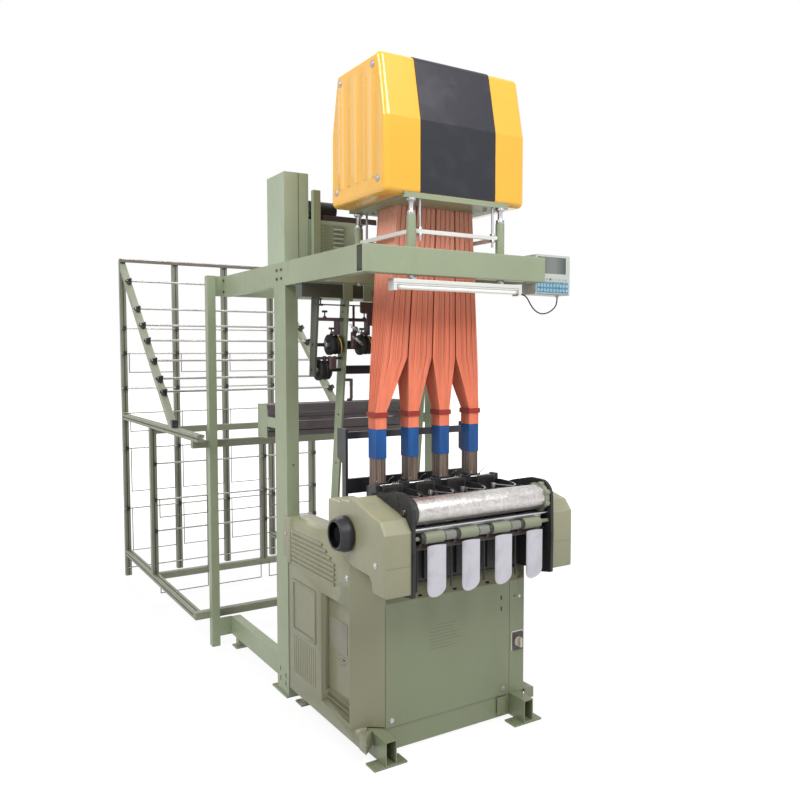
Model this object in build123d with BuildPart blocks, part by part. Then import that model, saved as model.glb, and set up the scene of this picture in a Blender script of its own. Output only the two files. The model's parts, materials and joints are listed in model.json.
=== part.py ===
import math

from build123d import *
from math import cos, hypot, radians, sin
import os

os.makedirs("parts", exist_ok=True)

# All sizes in mm. X runs across the loom, Y from the front to the creel, Z up from the floor.
# The origin is on the floor, midway between the front feet, on the line of their anchor holes.

# Weaving width
CENTRE = 20  # centre line of the tapes, beside the middle of the feet
HEADS = 4
HEAD_PITCH = 162
PLATE_GAP_HALF = 336  # centre line to the inner face of a side plate
PLATE_T = 14

# Fits and clearances
RUN_FIT = 0.05  # radial clearance of a shaft in its bearing
SEAT_FIT = 0.05  # radial clearance of a piece fixed on a shaft
MOVE_GAP = 3  # room beside a turning piece
SHEET = 3  # covers and panels

# Base machine
FOOT_X = 350
FOOT_W = 50
FOOT_TOP = 106
FOOT_FRONT = -50
FOOT_REAR = 690
FOOT_WALL = 4
PAD_T = 8
PAD_WIDTH = 150
PAD_DEPTH = 70
ANCHOR_R = 6
ANCHOR_SIDE = 56  # anchor hole from the middle of its foot
REAR_ANCHOR_Y = 640
ANCHOR_TO_PAD_MIDDLE = 14
BASE_LEFT = -318
BASE_RIGHT = 404
BASE_FRONT = 50
BASE_REAR = 737
POST = 40
BED_TOP = 668
BED_T = 14
LEDGE_BOTTOM = 613  # sloped ledge over the front panel
LEDGE_REAR = 88
LEDGE_SHEET = 4
LEDGE_SLOTS = (-147, 28, 203, 378)
PANEL_SPLIT = 321  # seam between the front panel and the isolator panel
PANEL_DEPTH = 6

# Side covers and upper housings
COVER_HALF = 452
COVER_CORNER_Y = 136
COVER_BOTTOM = 52
COVER_TOP = 862
COVER_FLANGE = 8  # raised edge that laps over the gantry column
COVER_FLANGE_REAR = 777
COVER_FLANGE_BOTTOM = 650
BAY_DEPTH = 38
SKIRT_TOP = 98
HOUSING_HALF = 465
HOUSING_FRONT = -164
HOUSING_TOP = 1050
RIB_COUNT = 8
RIB_PITCH = 20.5
RIB_TOP = 803
RIB_H = 14
RIB_OUT = 8

# Drive
SHAFT_R = 15
SHAFT_Y = 128
SHAFT_Z = 904
WHEEL_R = 72
WHEEL_W = 56
BELT_X = -350
BELT_W = 20
BELT_T = 5
MAIN_PULLEY_R = 45
MOTOR_PULLEY_R = 40
MOTOR_Y = 350
MOTOR_Z = 300
MOTOR_R = 85
MOTOR_SHAFT_R = 12

# Take-up
DRUM_R = 52
DRUM_HALF = 312
DRUM_Y = -110
DRUM_Z = 1013
DRUM_WALL = 5
DRUM_SHAFT_R = 14
ROLLER_R = 23
ROLLER_W = 88
ROLLER_Y = -150
ROLLER_Z = 917
ROLLER_SHAFT_R = 8
STRIPPER_Y = -152
STRIPPER_Z = 952
HOLDER_OFFSET = 57  # holder to the left of its roller's middle
BAR_Y = -122
BAR_Z = 878
BAR_R = 10
CHUTE_W = 86
CHUTE_L = 202
CHUTE_TOP = 889
CHUTE_FRONT = -176
CHUTE_T = 2

# Weaving heads
BED_BEAM_TOP = 1005
BED_BEAM_T = 20
WEFT_SHAFT_R = 5
WEFT_PIVOT_BACK = 60  # pivot to the left of its tape's middle
WEFT_PIVOT_Y = 20
WEFT_R = 95
WEFT_Z = 1057
WEFT_T = 3
WEFT_ARM_W = 6
SLEY_PIVOT_Y = 205
SLEY_PIVOT_Z = 760
SLEY_SHAFT_R = 10
SLEY_BAR_Y = 140
SLEY_BAR_TOP = 1000
REED_W = 96
REED_H = 76
REED_T = 6
REED_DENTS = 14
NEEDLE_BAR_Y = -38
NEEDLE_BAR_W = 12
NEEDLE_BAR_Z = 1012
NEEDLE_Z = 1050
GUIDE_ROD_R = 4

# Harness
HARNESS_Y = 271
BUNDLE_W = 55
BUNDLE_D = 66
HARNESS_TOP = 2260
HARNESS_JOIN = 1600
SLEEVE_TOP = 1297
SLEEVE_BOTTOM = 1172
HEALD_BOTTOM = 1052
COLLAR_Z = 1347
COLLAR_H = 21
BLOCK_HALF = 192
BLOCK_D = 168
JOIN_HALF = 248
JOIN_D = 110

# Gantry
GANTRY_HALF = 456
BEAM_BOTTOM = 1925
BEAM_TOP = 2033
BEAM_W = 50
BEAM_WALL = 5
FRONT_BEAM_Y = 12
GANTRY_REAR = 1600
COLUMN_W = 62
COLUMN_D = 132
REAR_POST_HALF = 506
REAR_POST_W = 44
REAR_POST_D = 45
RAIL_HALF = 390
RAIL_BOTTOM = 55
RAIL_TOP = 155
RAIL_REAR = 1550
HANGER_HALF = 217
HANGER_T = 10
HANGER_W = 70
HANGER_TOP = 1865
HANGER_TOP_Y = 599
HANGER_LEAN = 0.1176

# Jacquard head
HEAD_HALF = 350
HEAD_FRONT = 26
HEAD_REAR = 484
HEAD_BOTTOM = 2236
HEAD_CREASE = 2532
HEAD_TOP = 2790
HEAD_LEAN = 53
HEAD_SKIN = 5
CENTRE_PANEL_HALF = 186
PLATE_HALF = 262
PLATE_BOTTOM = 2226
PLATE_THICK = 12
JACK_HALF = 223
JACK_FRONT_Y = 37
JACK_REAR_Y = 465
JACK_R = 19
JACK_TOP = 2160
JACK_SCREW_R = 10
ROD_HALF = 182
GUIDE_Z = 2091
GUIDE_H = 16

# Warp feed
FEED_SHAFT_R = 8
FEED_HEIGHTS = (1655, 1540)
FEED_BAR_Z = 1770
FEED_DISC_R = 47
FEED_DISC_W = 12
FEED_LEFT = -354
FEED_RIGHT = 262
WARP_GUIDE_Y = 1150

# Lamp, control panel and its cable
LAMP_LEFT = -295
LAMP_RIGHT = 345
LAMP_Y = 37
LAMP_TUBE_R = 8
LAMP_Z = 1876
PANEL_X = 484
PANEL_W = 208
PANEL_FRONT = 85
PANEL_D = 90
PANEL_BOTTOM = 1880
PANEL_TOP = 2058
CABLE_R = 3

# Creel
CREEL_X = -27
CREEL_PITCH = 375
CREEL_BAR = 40
CREEL_REAR = 3250
CREEL_MIDDLE = 2500
CREEL_TOP = 2280
CREEL_LOW = 150
CREEL_RAIL = 1140
CREEL_SIDE_FRONT = 1520
ROD_R = 7
WIRE_R = 3
INCLINE_FOOT_Y = 2010
INCLINE_HEAD_Y = 3240
INCLINE_HEAD_Z = 2250
CREEL_RODS = (2102, 1901, 1788, 1686, 1557, 1447, 1370)

# Derived places
head_x = [CENTRE + (i - (HEADS - 1) / 2) * HEAD_PITCH for i in range(HEADS)]
inner_left = CENTRE - PLATE_GAP_HALF
inner_right = CENTRE + PLATE_GAP_HALF
bed_bottom = BED_TOP - BED_T
foot_inner = FOOT_X - FOOT_W / 2
creel_x = [CREEL_X + (i - 1.5) * CREEL_PITCH for i in range(4)]
column_front = BASE_REAR
column_rear = BASE_REAR + COLUMN_D
weft_bar_top = WEFT_Z + WEFT_T


def hanger_y(z):
    """Middle of a hanger bar at a height."""
    return HANGER_TOP_Y + (HANGER_TOP - z) * HANGER_LEAN


def block(x0, x1, y0, y1, z0, z1, mode=Mode.ADD):
    """A rectangular solid between two corners."""
    with Locations(((x0 + x1) / 2, (y0 + y1) / 2, (z0 + z1) / 2)):
        Box(abs(x1 - x0), abs(y1 - y0), abs(z1 - z0), mode=mode)


def rod_x(x0, x1, y, z, radius, mode=Mode.ADD):
    with Locations(Location(((x0 + x1) / 2, y, z), (0, 90, 0))):
        Cylinder(radius, abs(x1 - x0), mode=mode)


def rod_y(x, y0, y1, z, radius, mode=Mode.ADD):
    with Locations(Location((x, (y0 + y1) / 2, z), (90, 0, 0))):
        Cylinder(radius, abs(y1 - y0), mode=mode)


def rod_z(x, y, z0, z1, radius, mode=Mode.ADD):
    with Locations((x, y, (z0 + z1) / 2)):
        Cylinder(radius, abs(z1 - z0), mode=mode)


def side_profile(points, x0, x1, corner=0, mode=Mode.ADD):
    """Extrudes an outline of (y, z) points along X, its corners rounded."""
    with BuildSketch(Plane.YZ.offset(x0)) as outline:
        with BuildLine():
            Polyline(*points, close=True)
        make_face()
        if corner:
            fillet(outline.vertices(), corner)
    extrude(outline.sketch, amount=x1 - x0, mode=mode)


def plan_profile(points, z0, z1, mode=Mode.ADD):
    """Extrudes an outline of (x, y) points upwards."""
    with BuildSketch(Plane.XY.offset(z0)) as outline:
        with BuildLine():
            Polyline(*points, close=True)
        make_face()
    extrude(outline.sketch, amount=z1 - z0, mode=mode)


def turned_x(points, y, z, mode=Mode.ADD):
    """Turns an outline of (x, radius) points about an axis along X."""
    with BuildSketch(Plane.XZ.offset(-y)) as outline:
        with BuildLine():
            Polyline(*[(x, z + r) for x, r in points], close=True)
        make_face()
    revolve(outline.sketch, axis=Axis((0, y, z), (1, 0, 0)), mode=mode)


def box_tube_y(x0, x1, y0, y1, z0, z1, wall):
    """A rectangular tube along Y, open at both ends."""
    block(x0, x1, y0, y1, z0, z1)
    block(x0 + wall, x1 - wall, y0 - 1, y1 + 1, z0 + wall, z1 - wall, Mode.SUBTRACT)


def box_tube_z(x0, x1, y0, y1, z0, z1, wall):
    """A rectangular tube along Z, open at both ends."""
    block(x0, x1, y0, y1, z0, z1)
    block(x0 + wall, x1 - wall, y0 + wall, y1 - wall, z0 - 1, z1 + 1, Mode.SUBTRACT)


def save(piece, name):
    piece.part.label = name
    export_step(piece.part, f"parts/{name}.step")


# Base frame: two foot tubes on anchored pads, two sills and four posts
with BuildPart() as base_frame:
    for x in (-FOOT_X, FOOT_X):
        box_tube_y(x - FOOT_W / 2, x + FOOT_W / 2, FOOT_FRONT, FOOT_REAR, PAD_T, FOOT_TOP, FOOT_WALL)
        for hole_y, way in ((0, -1), (REAR_ANCHOR_Y, 1)):
            pad_y = hole_y + way * ANCHOR_TO_PAD_MIDDLE
            block(x - PAD_WIDTH / 2, x + PAD_WIDTH / 2, pad_y - PAD_DEPTH / 2, pad_y + PAD_DEPTH / 2, 0, PAD_T)
            for side in (-1, 1):
                rod_z(x + side * ANCHOR_SIDE, hole_y, -1, PAD_T + 1, ANCHOR_R, Mode.SUBTRACT)
    sill_front = BASE_FRONT + PANEL_DEPTH
    for y in (sill_front, FOOT_REAR - POST):
        block(-foot_inner, foot_inner, y, y + POST, PAD_T, FOOT_TOP)
    for y in (sill_front, BASE_REAR - POST):
        block(BASE_LEFT, BASE_LEFT + POST, y, y + POST, FOOT_TOP, bed_bottom)
        block(BASE_RIGHT - POST, BASE_RIGHT, y, y + POST, FOOT_TOP, bed_bottom)
    for x0, x1 in ((BASE_LEFT, BASE_LEFT + POST), (foot_inner, BASE_RIGHT)):
        block(x0, x1, FOOT_REAR - POST, BASE_REAR, FOOT_TOP - POST, FOOT_TOP)
    block(foot_inner, BASE_RIGHT, sill_front, sill_front + POST, FOOT_TOP - POST, FOOT_TOP)
    side_profile(
        [
            (BASE_FRONT - 1, LEDGE_BOTTOM - 2),
            (BASE_FRONT + LEDGE_SHEET + 0.2, LEDGE_BOTTOM - 2),
            (LEDGE_REAR - 4, bed_bottom + 0.3),
            (LEDGE_REAR - 4, bed_bottom + 2),
            (BASE_FRONT - 1, bed_bottom + 2),
        ],
        BASE_LEFT - 1,
        BASE_RIGHT + 1,
        mode=Mode.SUBTRACT,
    )
save(base_frame, "base_frame")

# Bed plate that carries the side plates and the casting, with the sloped ledge over the front panel
ledge_foot = LEDGE_BOTTOM - 7
with BuildPart() as bed_plate:
    block(BASE_LEFT, BASE_RIGHT, LEDGE_REAR, BASE_REAR, bed_bottom, BED_TOP)
    ledge = [
        (BASE_FRONT, ledge_foot),
        (BASE_FRONT, LEDGE_BOTTOM),
        (LEDGE_REAR, BED_TOP),
        (LEDGE_REAR + 4, BED_TOP),
        (LEDGE_REAR + 4, bed_bottom),
        (LEDGE_REAR - 5, bed_bottom),
        (BASE_FRONT + LEDGE_SHEET, LEDGE_BOTTOM - 1),
        (BASE_FRONT + LEDGE_SHEET, ledge_foot),
    ]
    side_profile(ledge, BASE_LEFT, BASE_RIGHT)
    for x in LEDGE_SLOTS:
        block(x - 10, x + 10, BASE_FRONT, BASE_FRONT + 16, LEDGE_BOTTOM + 6, LEDGE_BOTTOM + 13, Mode.SUBTRACT)
    cheek = [ledge[0], (BASE_FRONT, BED_TOP), ledge[3], ledge[4], ledge[5], ledge[6], ledge[7]]
    for x in (BASE_LEFT, BASE_RIGHT - SHEET):
        side_profile(cheek, x, x + SHEET)
save(bed_plate, "bed_plate")

# Front, isolator and rear panels: trays of sheet with a turned rim
with BuildPart() as base_panels:
    for x0, x1 in ((BASE_LEFT + 2, PANEL_SPLIT - 1), (PANEL_SPLIT + 1, BASE_RIGHT)):
        block(x0, x1, BASE_FRONT, sill_front, FOOT_TOP, ledge_foot)
        block(x0 + 2, x1 - 2, BASE_FRONT + 2, sill_front + 1, FOOT_TOP + 2, ledge_foot - 2, Mode.SUBTRACT)
    isolator_x = (PANEL_SPLIT + BASE_RIGHT) / 2 + 6
    isolator_z = 334
    rod_y(isolator_x, BASE_FRONT - 1, sill_front, isolator_z, 12, Mode.SUBTRACT)
    block(BASE_LEFT, BASE_RIGHT, BASE_REAR - POST - 2, BASE_REAR - POST, FOOT_TOP + 2, bed_bottom - 2)
    for x0, x1 in ((BASE_LEFT, BASE_LEFT + POST), (BASE_RIGHT - POST, BASE_RIGHT)):
        block(x0, x1, BASE_REAR - POST - 3, BASE_REAR + 1, FOOT_TOP, bed_bottom, Mode.SUBTRACT)
save(base_panels, "base_panels")


def lower_cover(side):
    """Moulded side cover, side -1 on the left and 1 on the right: a raked front, ribs and a label bay."""
    outer = CENTRE + side * COVER_HALF
    front_x = BASE_LEFT if side < 0 else BASE_RIGHT
    inward = -side
    rake = [(front_x, BASE_FRONT), (outer, COVER_CORNER_Y), (outer, BASE_REAR)]
    inner = [(outer + inward * SHEET, BASE_REAR), (outer + inward * SHEET, COVER_CORNER_Y + 2), (front_x, BASE_FRONT + 4)]
    plate_outer = CENTRE + side * (PLATE_GAP_HALF + PLATE_T)
    with BuildPart() as cover:
        plan_profile(rake + inner, COVER_BOTTOM, COVER_TOP)
        # Skirt in front of the rake, beside the foot
        skirt_x = outer + inward * 52
        block(outer, outer + inward * SHEET, COVER_CORNER_Y - 78, COVER_CORNER_Y, COVER_BOTTOM, SKIRT_TOP)
        block(outer, skirt_x, COVER_CORNER_Y - 78, COVER_CORNER_Y - 75, COVER_BOTTOM, SKIRT_TOP)
        plan_profile(
            [(outer, COVER_CORNER_Y), (outer, COVER_CORNER_Y - 78), (skirt_x, COVER_CORNER_Y - 78), (skirt_x, COVER_CORNER_Y - 38)],
            SKIRT_TOP - SHEET,
            SKIRT_TOP,
        )
        # Notch over the foot tube, and room for the side plate above the bed
        foot = side * FOOT_X
        if side < 0:
            block(foot - FOOT_W / 2 - 2, front_x + 1, 0, 240, 0, FOOT_TOP + 6, Mode.SUBTRACT)
            block(plate_outer - 1, front_x + 1, 0, 200, BED_TOP, COVER_TOP + 1, Mode.SUBTRACT)
        # Top cap behind the upper housing, with its inner wall on the bed
        cap_in = front_x + inward * SHEET if side < 0 else front_x
        block(outer, cap_in, 311, BASE_REAR, COVER_TOP - SHEET, COVER_TOP)
        block(cap_in, cap_in - inward * SHEET, 316, BASE_REAR, BED_TOP, COVER_TOP)
        # Raised ribs, each a little further forward than the one above
        for i in range(RIB_COUNT):
            z = RIB_TOP - i * RIB_PITCH
            front = max(264, 380 - i * 40)
            with BuildSketch(Plane.XZ.offset(-686)) as rib:
                with Locations((outer, z)):
                    Ellipse(RIB_OUT, RIB_H / 2)
            extrude(rib.sketch, amount=686 - front)
        # Framed panel and the recessed bay with its rails
        block(outer - side, outer + side * 5, 449, 689, 347, 583)
        block(outer, outer + side * 6, 461, 677, 359, 571, Mode.SUBTRACT)
        bay = (COVER_CORNER_Y + 6, 396)
        block(outer + inward * SHEET, outer + inward * (BAY_DEPTH + SHEET), bay[0] - 2, bay[1] + 2, 116, 596)
        block(outer - inward, outer + inward * BAY_DEPTH, bay[0], bay[1], 118, 594, Mode.SUBTRACT)
        for z in (132, 160):
            block(outer + inward * BAY_DEPTH, outer + inward * (BAY_DEPTH - 14), bay[0], bay[1], z, z + 7)
        # Raised rear edge, lapped over the side of the gantry column
        lap = outer + side * COVER_FLANGE
        block(outer - side, lap, 700, BASE_REAR, COVER_FLANGE_BOTTOM, COVER_TOP)
        block(CENTRE + side * GANTRY_HALF, lap, BASE_REAR, COVER_FLANGE_REAR, COVER_FLANGE_BOTTOM + 24, COVER_TOP)
        # Fluted field
        for i in range(12):
            y = 455 + i * 20
            block(outer - side, outer + side * 1.5, y, y + 8, 150, 318)
        chamfer(cover.edges().filter_by(Axis.Y).group_by(Axis.Z)[-1].sort_by(Axis.X)[0 if side < 0 else -1], 2)
    return cover


save(lower_cover(-1), "lower_cover_left")
save(lower_cover(1), "lower_cover_right")


def upper_housing(side):
    """Moulded gear housing over the drum's end: a rounded shell, open towards its side plate."""
    inner = CENTRE + side * (PLATE_GAP_HALF + PLATE_T)
    outer = CENTRE + side * HOUSING_HALF
    inward = -side
    outline = [
        (HOUSING_FRONT, 711),
        (HOUSING_FRONT, 948),
        (HOUSING_FRONT + 38, 994),
        (100, HOUSING_TOP),
        (118, HOUSING_TOP - 18),
        (184, HOUSING_TOP - 18),
        (202, HOUSING_TOP - 32),
        (300, HOUSING_TOP - 32),
        (300, 862),
        (92, 776),
        (-40, 770),
        (-58, 750),
        (-62, 720),
        (-76, 711),
    ]
    with BuildPart() as housing:
        side_profile(outline, min(inner, outer), max(inner, outer), corner=5)
        outer_face = housing.faces().filter_by(Axis.X).sort_by(Axis.X)[0 if side < 0 else -1]
        fillet(outer_face.edges(), 10)
        inner_face = housing.faces().filter_by(Axis.X).sort_by(Axis.X)[-1 if side < 0 else 0]
        offset(amount=-SHEET, openings=inner_face)
        # The lower cover's wall stands up inside
        block(CENTRE + side * (COVER_HALF + 4), inner + inward, 20, 301, 700, COVER_TOP + 30, Mode.SUBTRACT)
        # Seam across the front, and the hole for the main shaft
        block(inner - inward, outer - inward, HOUSING_FRONT - 1, HOUSING_FRONT + 1.5, 820, 824, Mode.SUBTRACT)
        if side < 0:
            rod_x(outer - 5, outer + 8, SHAFT_Y, SHAFT_Z, SHAFT_R + MOVE_GAP, Mode.SUBTRACT)
    return housing


save(upper_housing(-1), "upper_housing_left")
save(upper_housing(1), "upper_housing_right")

# Side plates with the bearings of the drum, rollers, main shaft and sley
plate_crown = [(-104 - 66 * math.cos(math.radians(a)), 1018 + 66 * math.sin(math.radians(a))) for a in range(0, 91, 15)]
plate_outline = [
    (-118, 690),
    (-172, 700),
    (-174, 870),
    *plate_crown,
    (-39, 1084),
    (70, 1060),
    (150, 1034),
    (310, 990),
    (310, BED_TOP),
    (60, BED_TOP),
    (60, 690),
]
with BuildPart() as side_plates:
    for x0 in (inner_left - PLATE_T, inner_right):
        side_profile(plate_outline, x0, x0 + PLATE_T, corner=4)
        for y, z, radius in (
            (DRUM_Y, DRUM_Z, DRUM_SHAFT_R),
            (ROLLER_Y, ROLLER_Z, ROLLER_SHAFT_R),
            (SHAFT_Y, SHAFT_Z, SHAFT_R),
            (SLEY_PIVOT_Y, SLEY_PIVOT_Z, SLEY_SHAFT_R),
        ):
            rod_x(x0 - 1, x0 + PLATE_T + 1, y, z, radius + RUN_FIT, Mode.SUBTRACT)
save(side_plates, "side_plates")

# Mains isolator on its panel
with BuildPart() as isolator_plate:
    block(isolator_x - 30, isolator_x + 30, BASE_FRONT - 3, BASE_FRONT, isolator_z - 40, isolator_z + 40)
    fillet(isolator_plate.edges().filter_by(Axis.Y), 4)
    rod_y(isolator_x, BASE_FRONT, sill_front - 0.5, isolator_z, 11.5)
    rod_y(isolator_x, BASE_FRONT - 4, sill_front, isolator_z, 6 + RUN_FIT, Mode.SUBTRACT)
save(isolator_plate, "isolator_plate")

with BuildPart() as isolator_knob:
    rod_y(isolator_x, sill_front - 1, BASE_FRONT - 3.3, isolator_z, 6)
    rod_y(isolator_x, BASE_FRONT - 10, BASE_FRONT - 3.3, isolator_z, 21)
    block(isolator_x - 6, isolator_x + 6, BASE_FRONT - 28, BASE_FRONT - 10, isolator_z - 21, isolator_z + 21)
save(isolator_knob, "isolator_knob")

# Handwheel: a deep hollow ring on the end of the main shaft
wheel_in = CENTRE - HOUSING_HALF - MOVE_GAP
wheel_out = wheel_in - WHEEL_W
with BuildPart() as handwheel:
    turned_x(
        [
            (wheel_in - 8, SHAFT_R + SEAT_FIT),
            (wheel_in - 8, WHEEL_R - 12),
            (wheel_in, WHEEL_R - 6),
            (wheel_in - 4, WHEEL_R),
            (wheel_in - 20, WHEEL_R),
            (wheel_out + 3, WHEEL_R - 11),
            (wheel_out, WHEEL_R - 14),
            (wheel_out, WHEEL_R - 19),
            (wheel_out + 3, WHEEL_R - 22),
            (wheel_in - 18, WHEEL_R - 16),
            (wheel_in - 18, 30),
            (wheel_in - 34, 26),
            (wheel_in - 34, SHAFT_R + SEAT_FIT),
        ],
        SHAFT_Y,
        SHAFT_Z,
    )
save(handwheel, "handwheel")

# Main shaft with its belt pulley, eccentrics and crank discs
with BuildPart() as main_shaft:
    rod_x(wheel_in - 40, CENTRE + HOUSING_HALF - 40, SHAFT_Y, SHAFT_Z, SHAFT_R)
    rod_x(BELT_X - BELT_W / 2, BELT_X + BELT_W / 2, SHAFT_Y, SHAFT_Z, MAIN_PULLEY_R)
    for x in (BELT_X - BELT_W / 2 - 3, BELT_X + BELT_W / 2):
        rod_x(x, x + 3, SHAFT_Y, SHAFT_Z, MAIN_PULLEY_R + 4)
    for x in (CENTRE - 150, CENTRE + 150):
        rod_x(x - 9, x + 9, SHAFT_Y, SHAFT_Z + 6, 36)
    for x in (CENTRE - 60, CENTRE + 60):
        rod_x(x - 6, x + 6, SHAFT_Y, SHAFT_Z, 42)
    rod_x(inner_right + PLATE_T + 6, inner_right + PLATE_T + 30, SHAFT_Y, SHAFT_Z, 40)
save(main_shaft, "main_shaft")

# Drive motor on its tray between the sills
motor_left = BASE_LEFT + POST - 6
with BuildPart() as drive_motor:
    rod_x(motor_left, motor_left + 220, MOTOR_Y, MOTOR_Z, MOTOR_R)
    rod_x(motor_left + 220, motor_left + 262, MOTOR_Y, MOTOR_Z, MOTOR_R - 8)
    fillet(drive_motor.faces().sort_by(Axis.X)[-1].edges(), 12)
    block(motor_left + 40, motor_left + 180, MOTOR_Y - 65, MOTOR_Y + 65, FOOT_TOP + 6, MOTOR_Z - 40)
    block(motor_left + 8, motor_left + 220, sill_front, FOOT_REAR, FOOT_TOP, FOOT_TOP + 6)
    rod_x(motor_left - 1, motor_left + 60, MOTOR_Y, MOTOR_Z, MOTOR_SHAFT_R + RUN_FIT, Mode.SUBTRACT)
save(drive_motor, "drive_motor")

with BuildPart() as motor_pulley:
    rod_x(BELT_X - BELT_W / 2 - 6, motor_left + 58, MOTOR_Y, MOTOR_Z, MOTOR_SHAFT_R)
    rod_x(BELT_X - BELT_W / 2, BELT_X + BELT_W / 2, MOTOR_Y, MOTOR_Z, MOTOR_PULLEY_R)
    for x in (BELT_X - BELT_W / 2 - 3, BELT_X + BELT_W / 2):
        rod_x(x, x + 3, MOTOR_Y, MOTOR_Z, MOTOR_PULLEY_R + 5)
save(motor_pulley, "motor_pulley")

# Belt round both pulleys
belt_gap = 0.3
with BuildPart() as drive_belt:
    for extra, mode in ((BELT_T, Mode.ADD), (belt_gap, Mode.SUBTRACT)):
        with BuildSketch(Plane.YZ.offset(BELT_X - BELT_W / 2 + belt_gap)):
            with Locations((SHAFT_Y, SHAFT_Z)):
                Circle(MAIN_PULLEY_R + extra)
            with Locations((MOTOR_Y, MOTOR_Z)):
                Circle(MOTOR_PULLEY_R + extra)
            make_hull()
        extrude(amount=BELT_W - 2 * belt_gap, mode=mode)
save(drive_belt, "drive_belt")

# Breast casting across the front of the mechanism
breast_y = 40
breast_t = 16
with BuildPart() as breast_casting:
    block(inner_left, inner_right, breast_y, breast_y + breast_t, 690, BED_BEAM_TOP - BED_BEAM_T)
    block(inner_left, inner_right, breast_y + breast_t, LEDGE_REAR + 20, 690, 702)
    block(inner_left, inner_right, LEDGE_REAR + 4, LEDGE_REAR + 20, BED_TOP, 690)
    for x in head_x:
        with BuildSketch(Plane.XZ.offset(-breast_y + 1)):
            with Locations((x, 838)):
                SlotOverall(110, 46)
        extrude(amount=-8, mode=Mode.SUBTRACT)
    for x in head_x[:-1]:
        block(x + HEAD_PITCH / 2 - 5, x + HEAD_PITCH / 2 + 5, breast_y - 14, breast_y, 700, 976)
save(breast_casting, "breast_casting")

# Needle bed: beam, fabric rests, dividers between the heads and the guide rods of the needle bar
divider = [(30, BED_BEAM_TOP), (56, BED_BEAM_TOP), (70, 1024), (212, 1030), (212, 1044), (150, 1052), (60, 1050), (30, 1034)]
with BuildPart() as needle_bed:
    block(inner_left, inner_right, -40, breast_y + breast_t, BED_BEAM_TOP - BED_BEAM_T, BED_BEAM_TOP)
    for x in head_x:
        side_profile([(10, BED_BEAM_TOP), (40, BED_BEAM_TOP), (40, 1030), (28, 1040), (10, 1034)], x - 40, x + 40)
        rod_z(x - WEFT_PIVOT_BACK, WEFT_PIVOT_Y, BED_BEAM_TOP, BED_BEAM_TOP + 14, 12)
        rod_z(x - WEFT_PIVOT_BACK, WEFT_PIVOT_Y, 970, BED_BEAM_TOP + 20, WEFT_SHAFT_R + RUN_FIT, Mode.SUBTRACT)
    for i in range(HEADS + 1):
        x = head_x[0] - HEAD_PITCH / 2 + i * HEAD_PITCH
        x = min(max(x, inner_left + 34), inner_right - 12)
        side_profile(divider, x - 4, x + 4)
    for x in (inner_left + 8, inner_right - 8):
        block(x - 6, x + 6, 20, 40, BED_BEAM_TOP, BED_BEAM_TOP + 22)
        rod_y(x, -40, 22, NEEDLE_BAR_Z + NEEDLE_BAR_W / 2, GUIDE_ROD_R)
save(needle_bed, "needle_bed")

# Take-up drum and its lobed handle
with BuildPart() as takeup_drum:
    rod_x(CENTRE - DRUM_HALF, CENTRE + DRUM_HALF, DRUM_Y, DRUM_Z, DRUM_R)
    rod_x(
        CENTRE - DRUM_HALF + 12,
        CENTRE + DRUM_HALF - 12,
        DRUM_Y,
        DRUM_Z,
        DRUM_R - DRUM_WALL,
        Mode.SUBTRACT,
    )
    rod_x(inner_left - PLATE_T + 1, inner_right + PLATE_T - 1, DRUM_Y, DRUM_Z, DRUM_SHAFT_R)
save(takeup_drum, "takeup_drum")

handle_in = CENTRE + DRUM_HALF + 1
with BuildPart() as drum_handle:
    with BuildSketch(Plane.YZ.offset(handle_in)) as lobes:
        with Locations((DRUM_Y, DRUM_Z)):
            Circle(DRUM_R + 4)
            with PolarLocations(DRUM_R + 1, 7):
                Circle(12)
            Circle(DRUM_SHAFT_R + SEAT_FIT, mode=Mode.SUBTRACT)
    extrude(amount=PLATE_GAP_HALF - DRUM_HALF - 1 - MOVE_GAP)
save(drum_handle, "drum_handle")

# Delivery rollers on one shaft, in their holders on the cross bar
with BuildPart() as delivery_rollers:
    rod_x(inner_left - PLATE_T + 2, inner_right + PLATE_T - 2, ROLLER_Y, ROLLER_Z, ROLLER_SHAFT_R)
    for x in head_x:
        turned_x(
            [
                (x - ROLLER_W / 2, 0),
                (x - ROLLER_W / 2, ROLLER_R - 1.5),
                (x - ROLLER_W / 2 + 1.5, ROLLER_R),
                (x + ROLLER_W / 2 - 1.5, ROLLER_R),
                (x + ROLLER_W / 2, ROLLER_R - 1.5),
                (x + ROLLER_W / 2, 0),
            ],
            ROLLER_Y,
            ROLLER_Z,
        )
save(delivery_rollers, "delivery_rollers")

with BuildPart() as roller_holders:
    rod_x(inner_left, inner_right, BAR_Y, BAR_Z, BAR_R)
    for x in head_x:
        x0 = x - HOLDER_OFFSET - 6
        rod_x(x0, x0 + 12, ROLLER_Y, ROLLER_Z, 21)
        rod_x(x0 - 4, x0, ROLLER_Y, ROLLER_Z, 12)
        side_profile([(ROLLER_Y - 8, ROLLER_Z - 12), (ROLLER_Y + 18, ROLLER_Z), (BAR_Y + 10, BAR_Z), (BAR_Y - 8, BAR_Z - 8)], x0, x0 + 12)
        rod_x(x0 - 5, x0 + 13, ROLLER_Y, ROLLER_Z, ROLLER_SHAFT_R + RUN_FIT, Mode.SUBTRACT)
        rod_z(x0 + 6, BAR_Y, 704, BAR_Z, 4)
    rod_x(inner_left, inner_right, STRIPPER_Y, STRIPPER_Z, 4)
save(roller_holders, "roller_holders")

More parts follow.
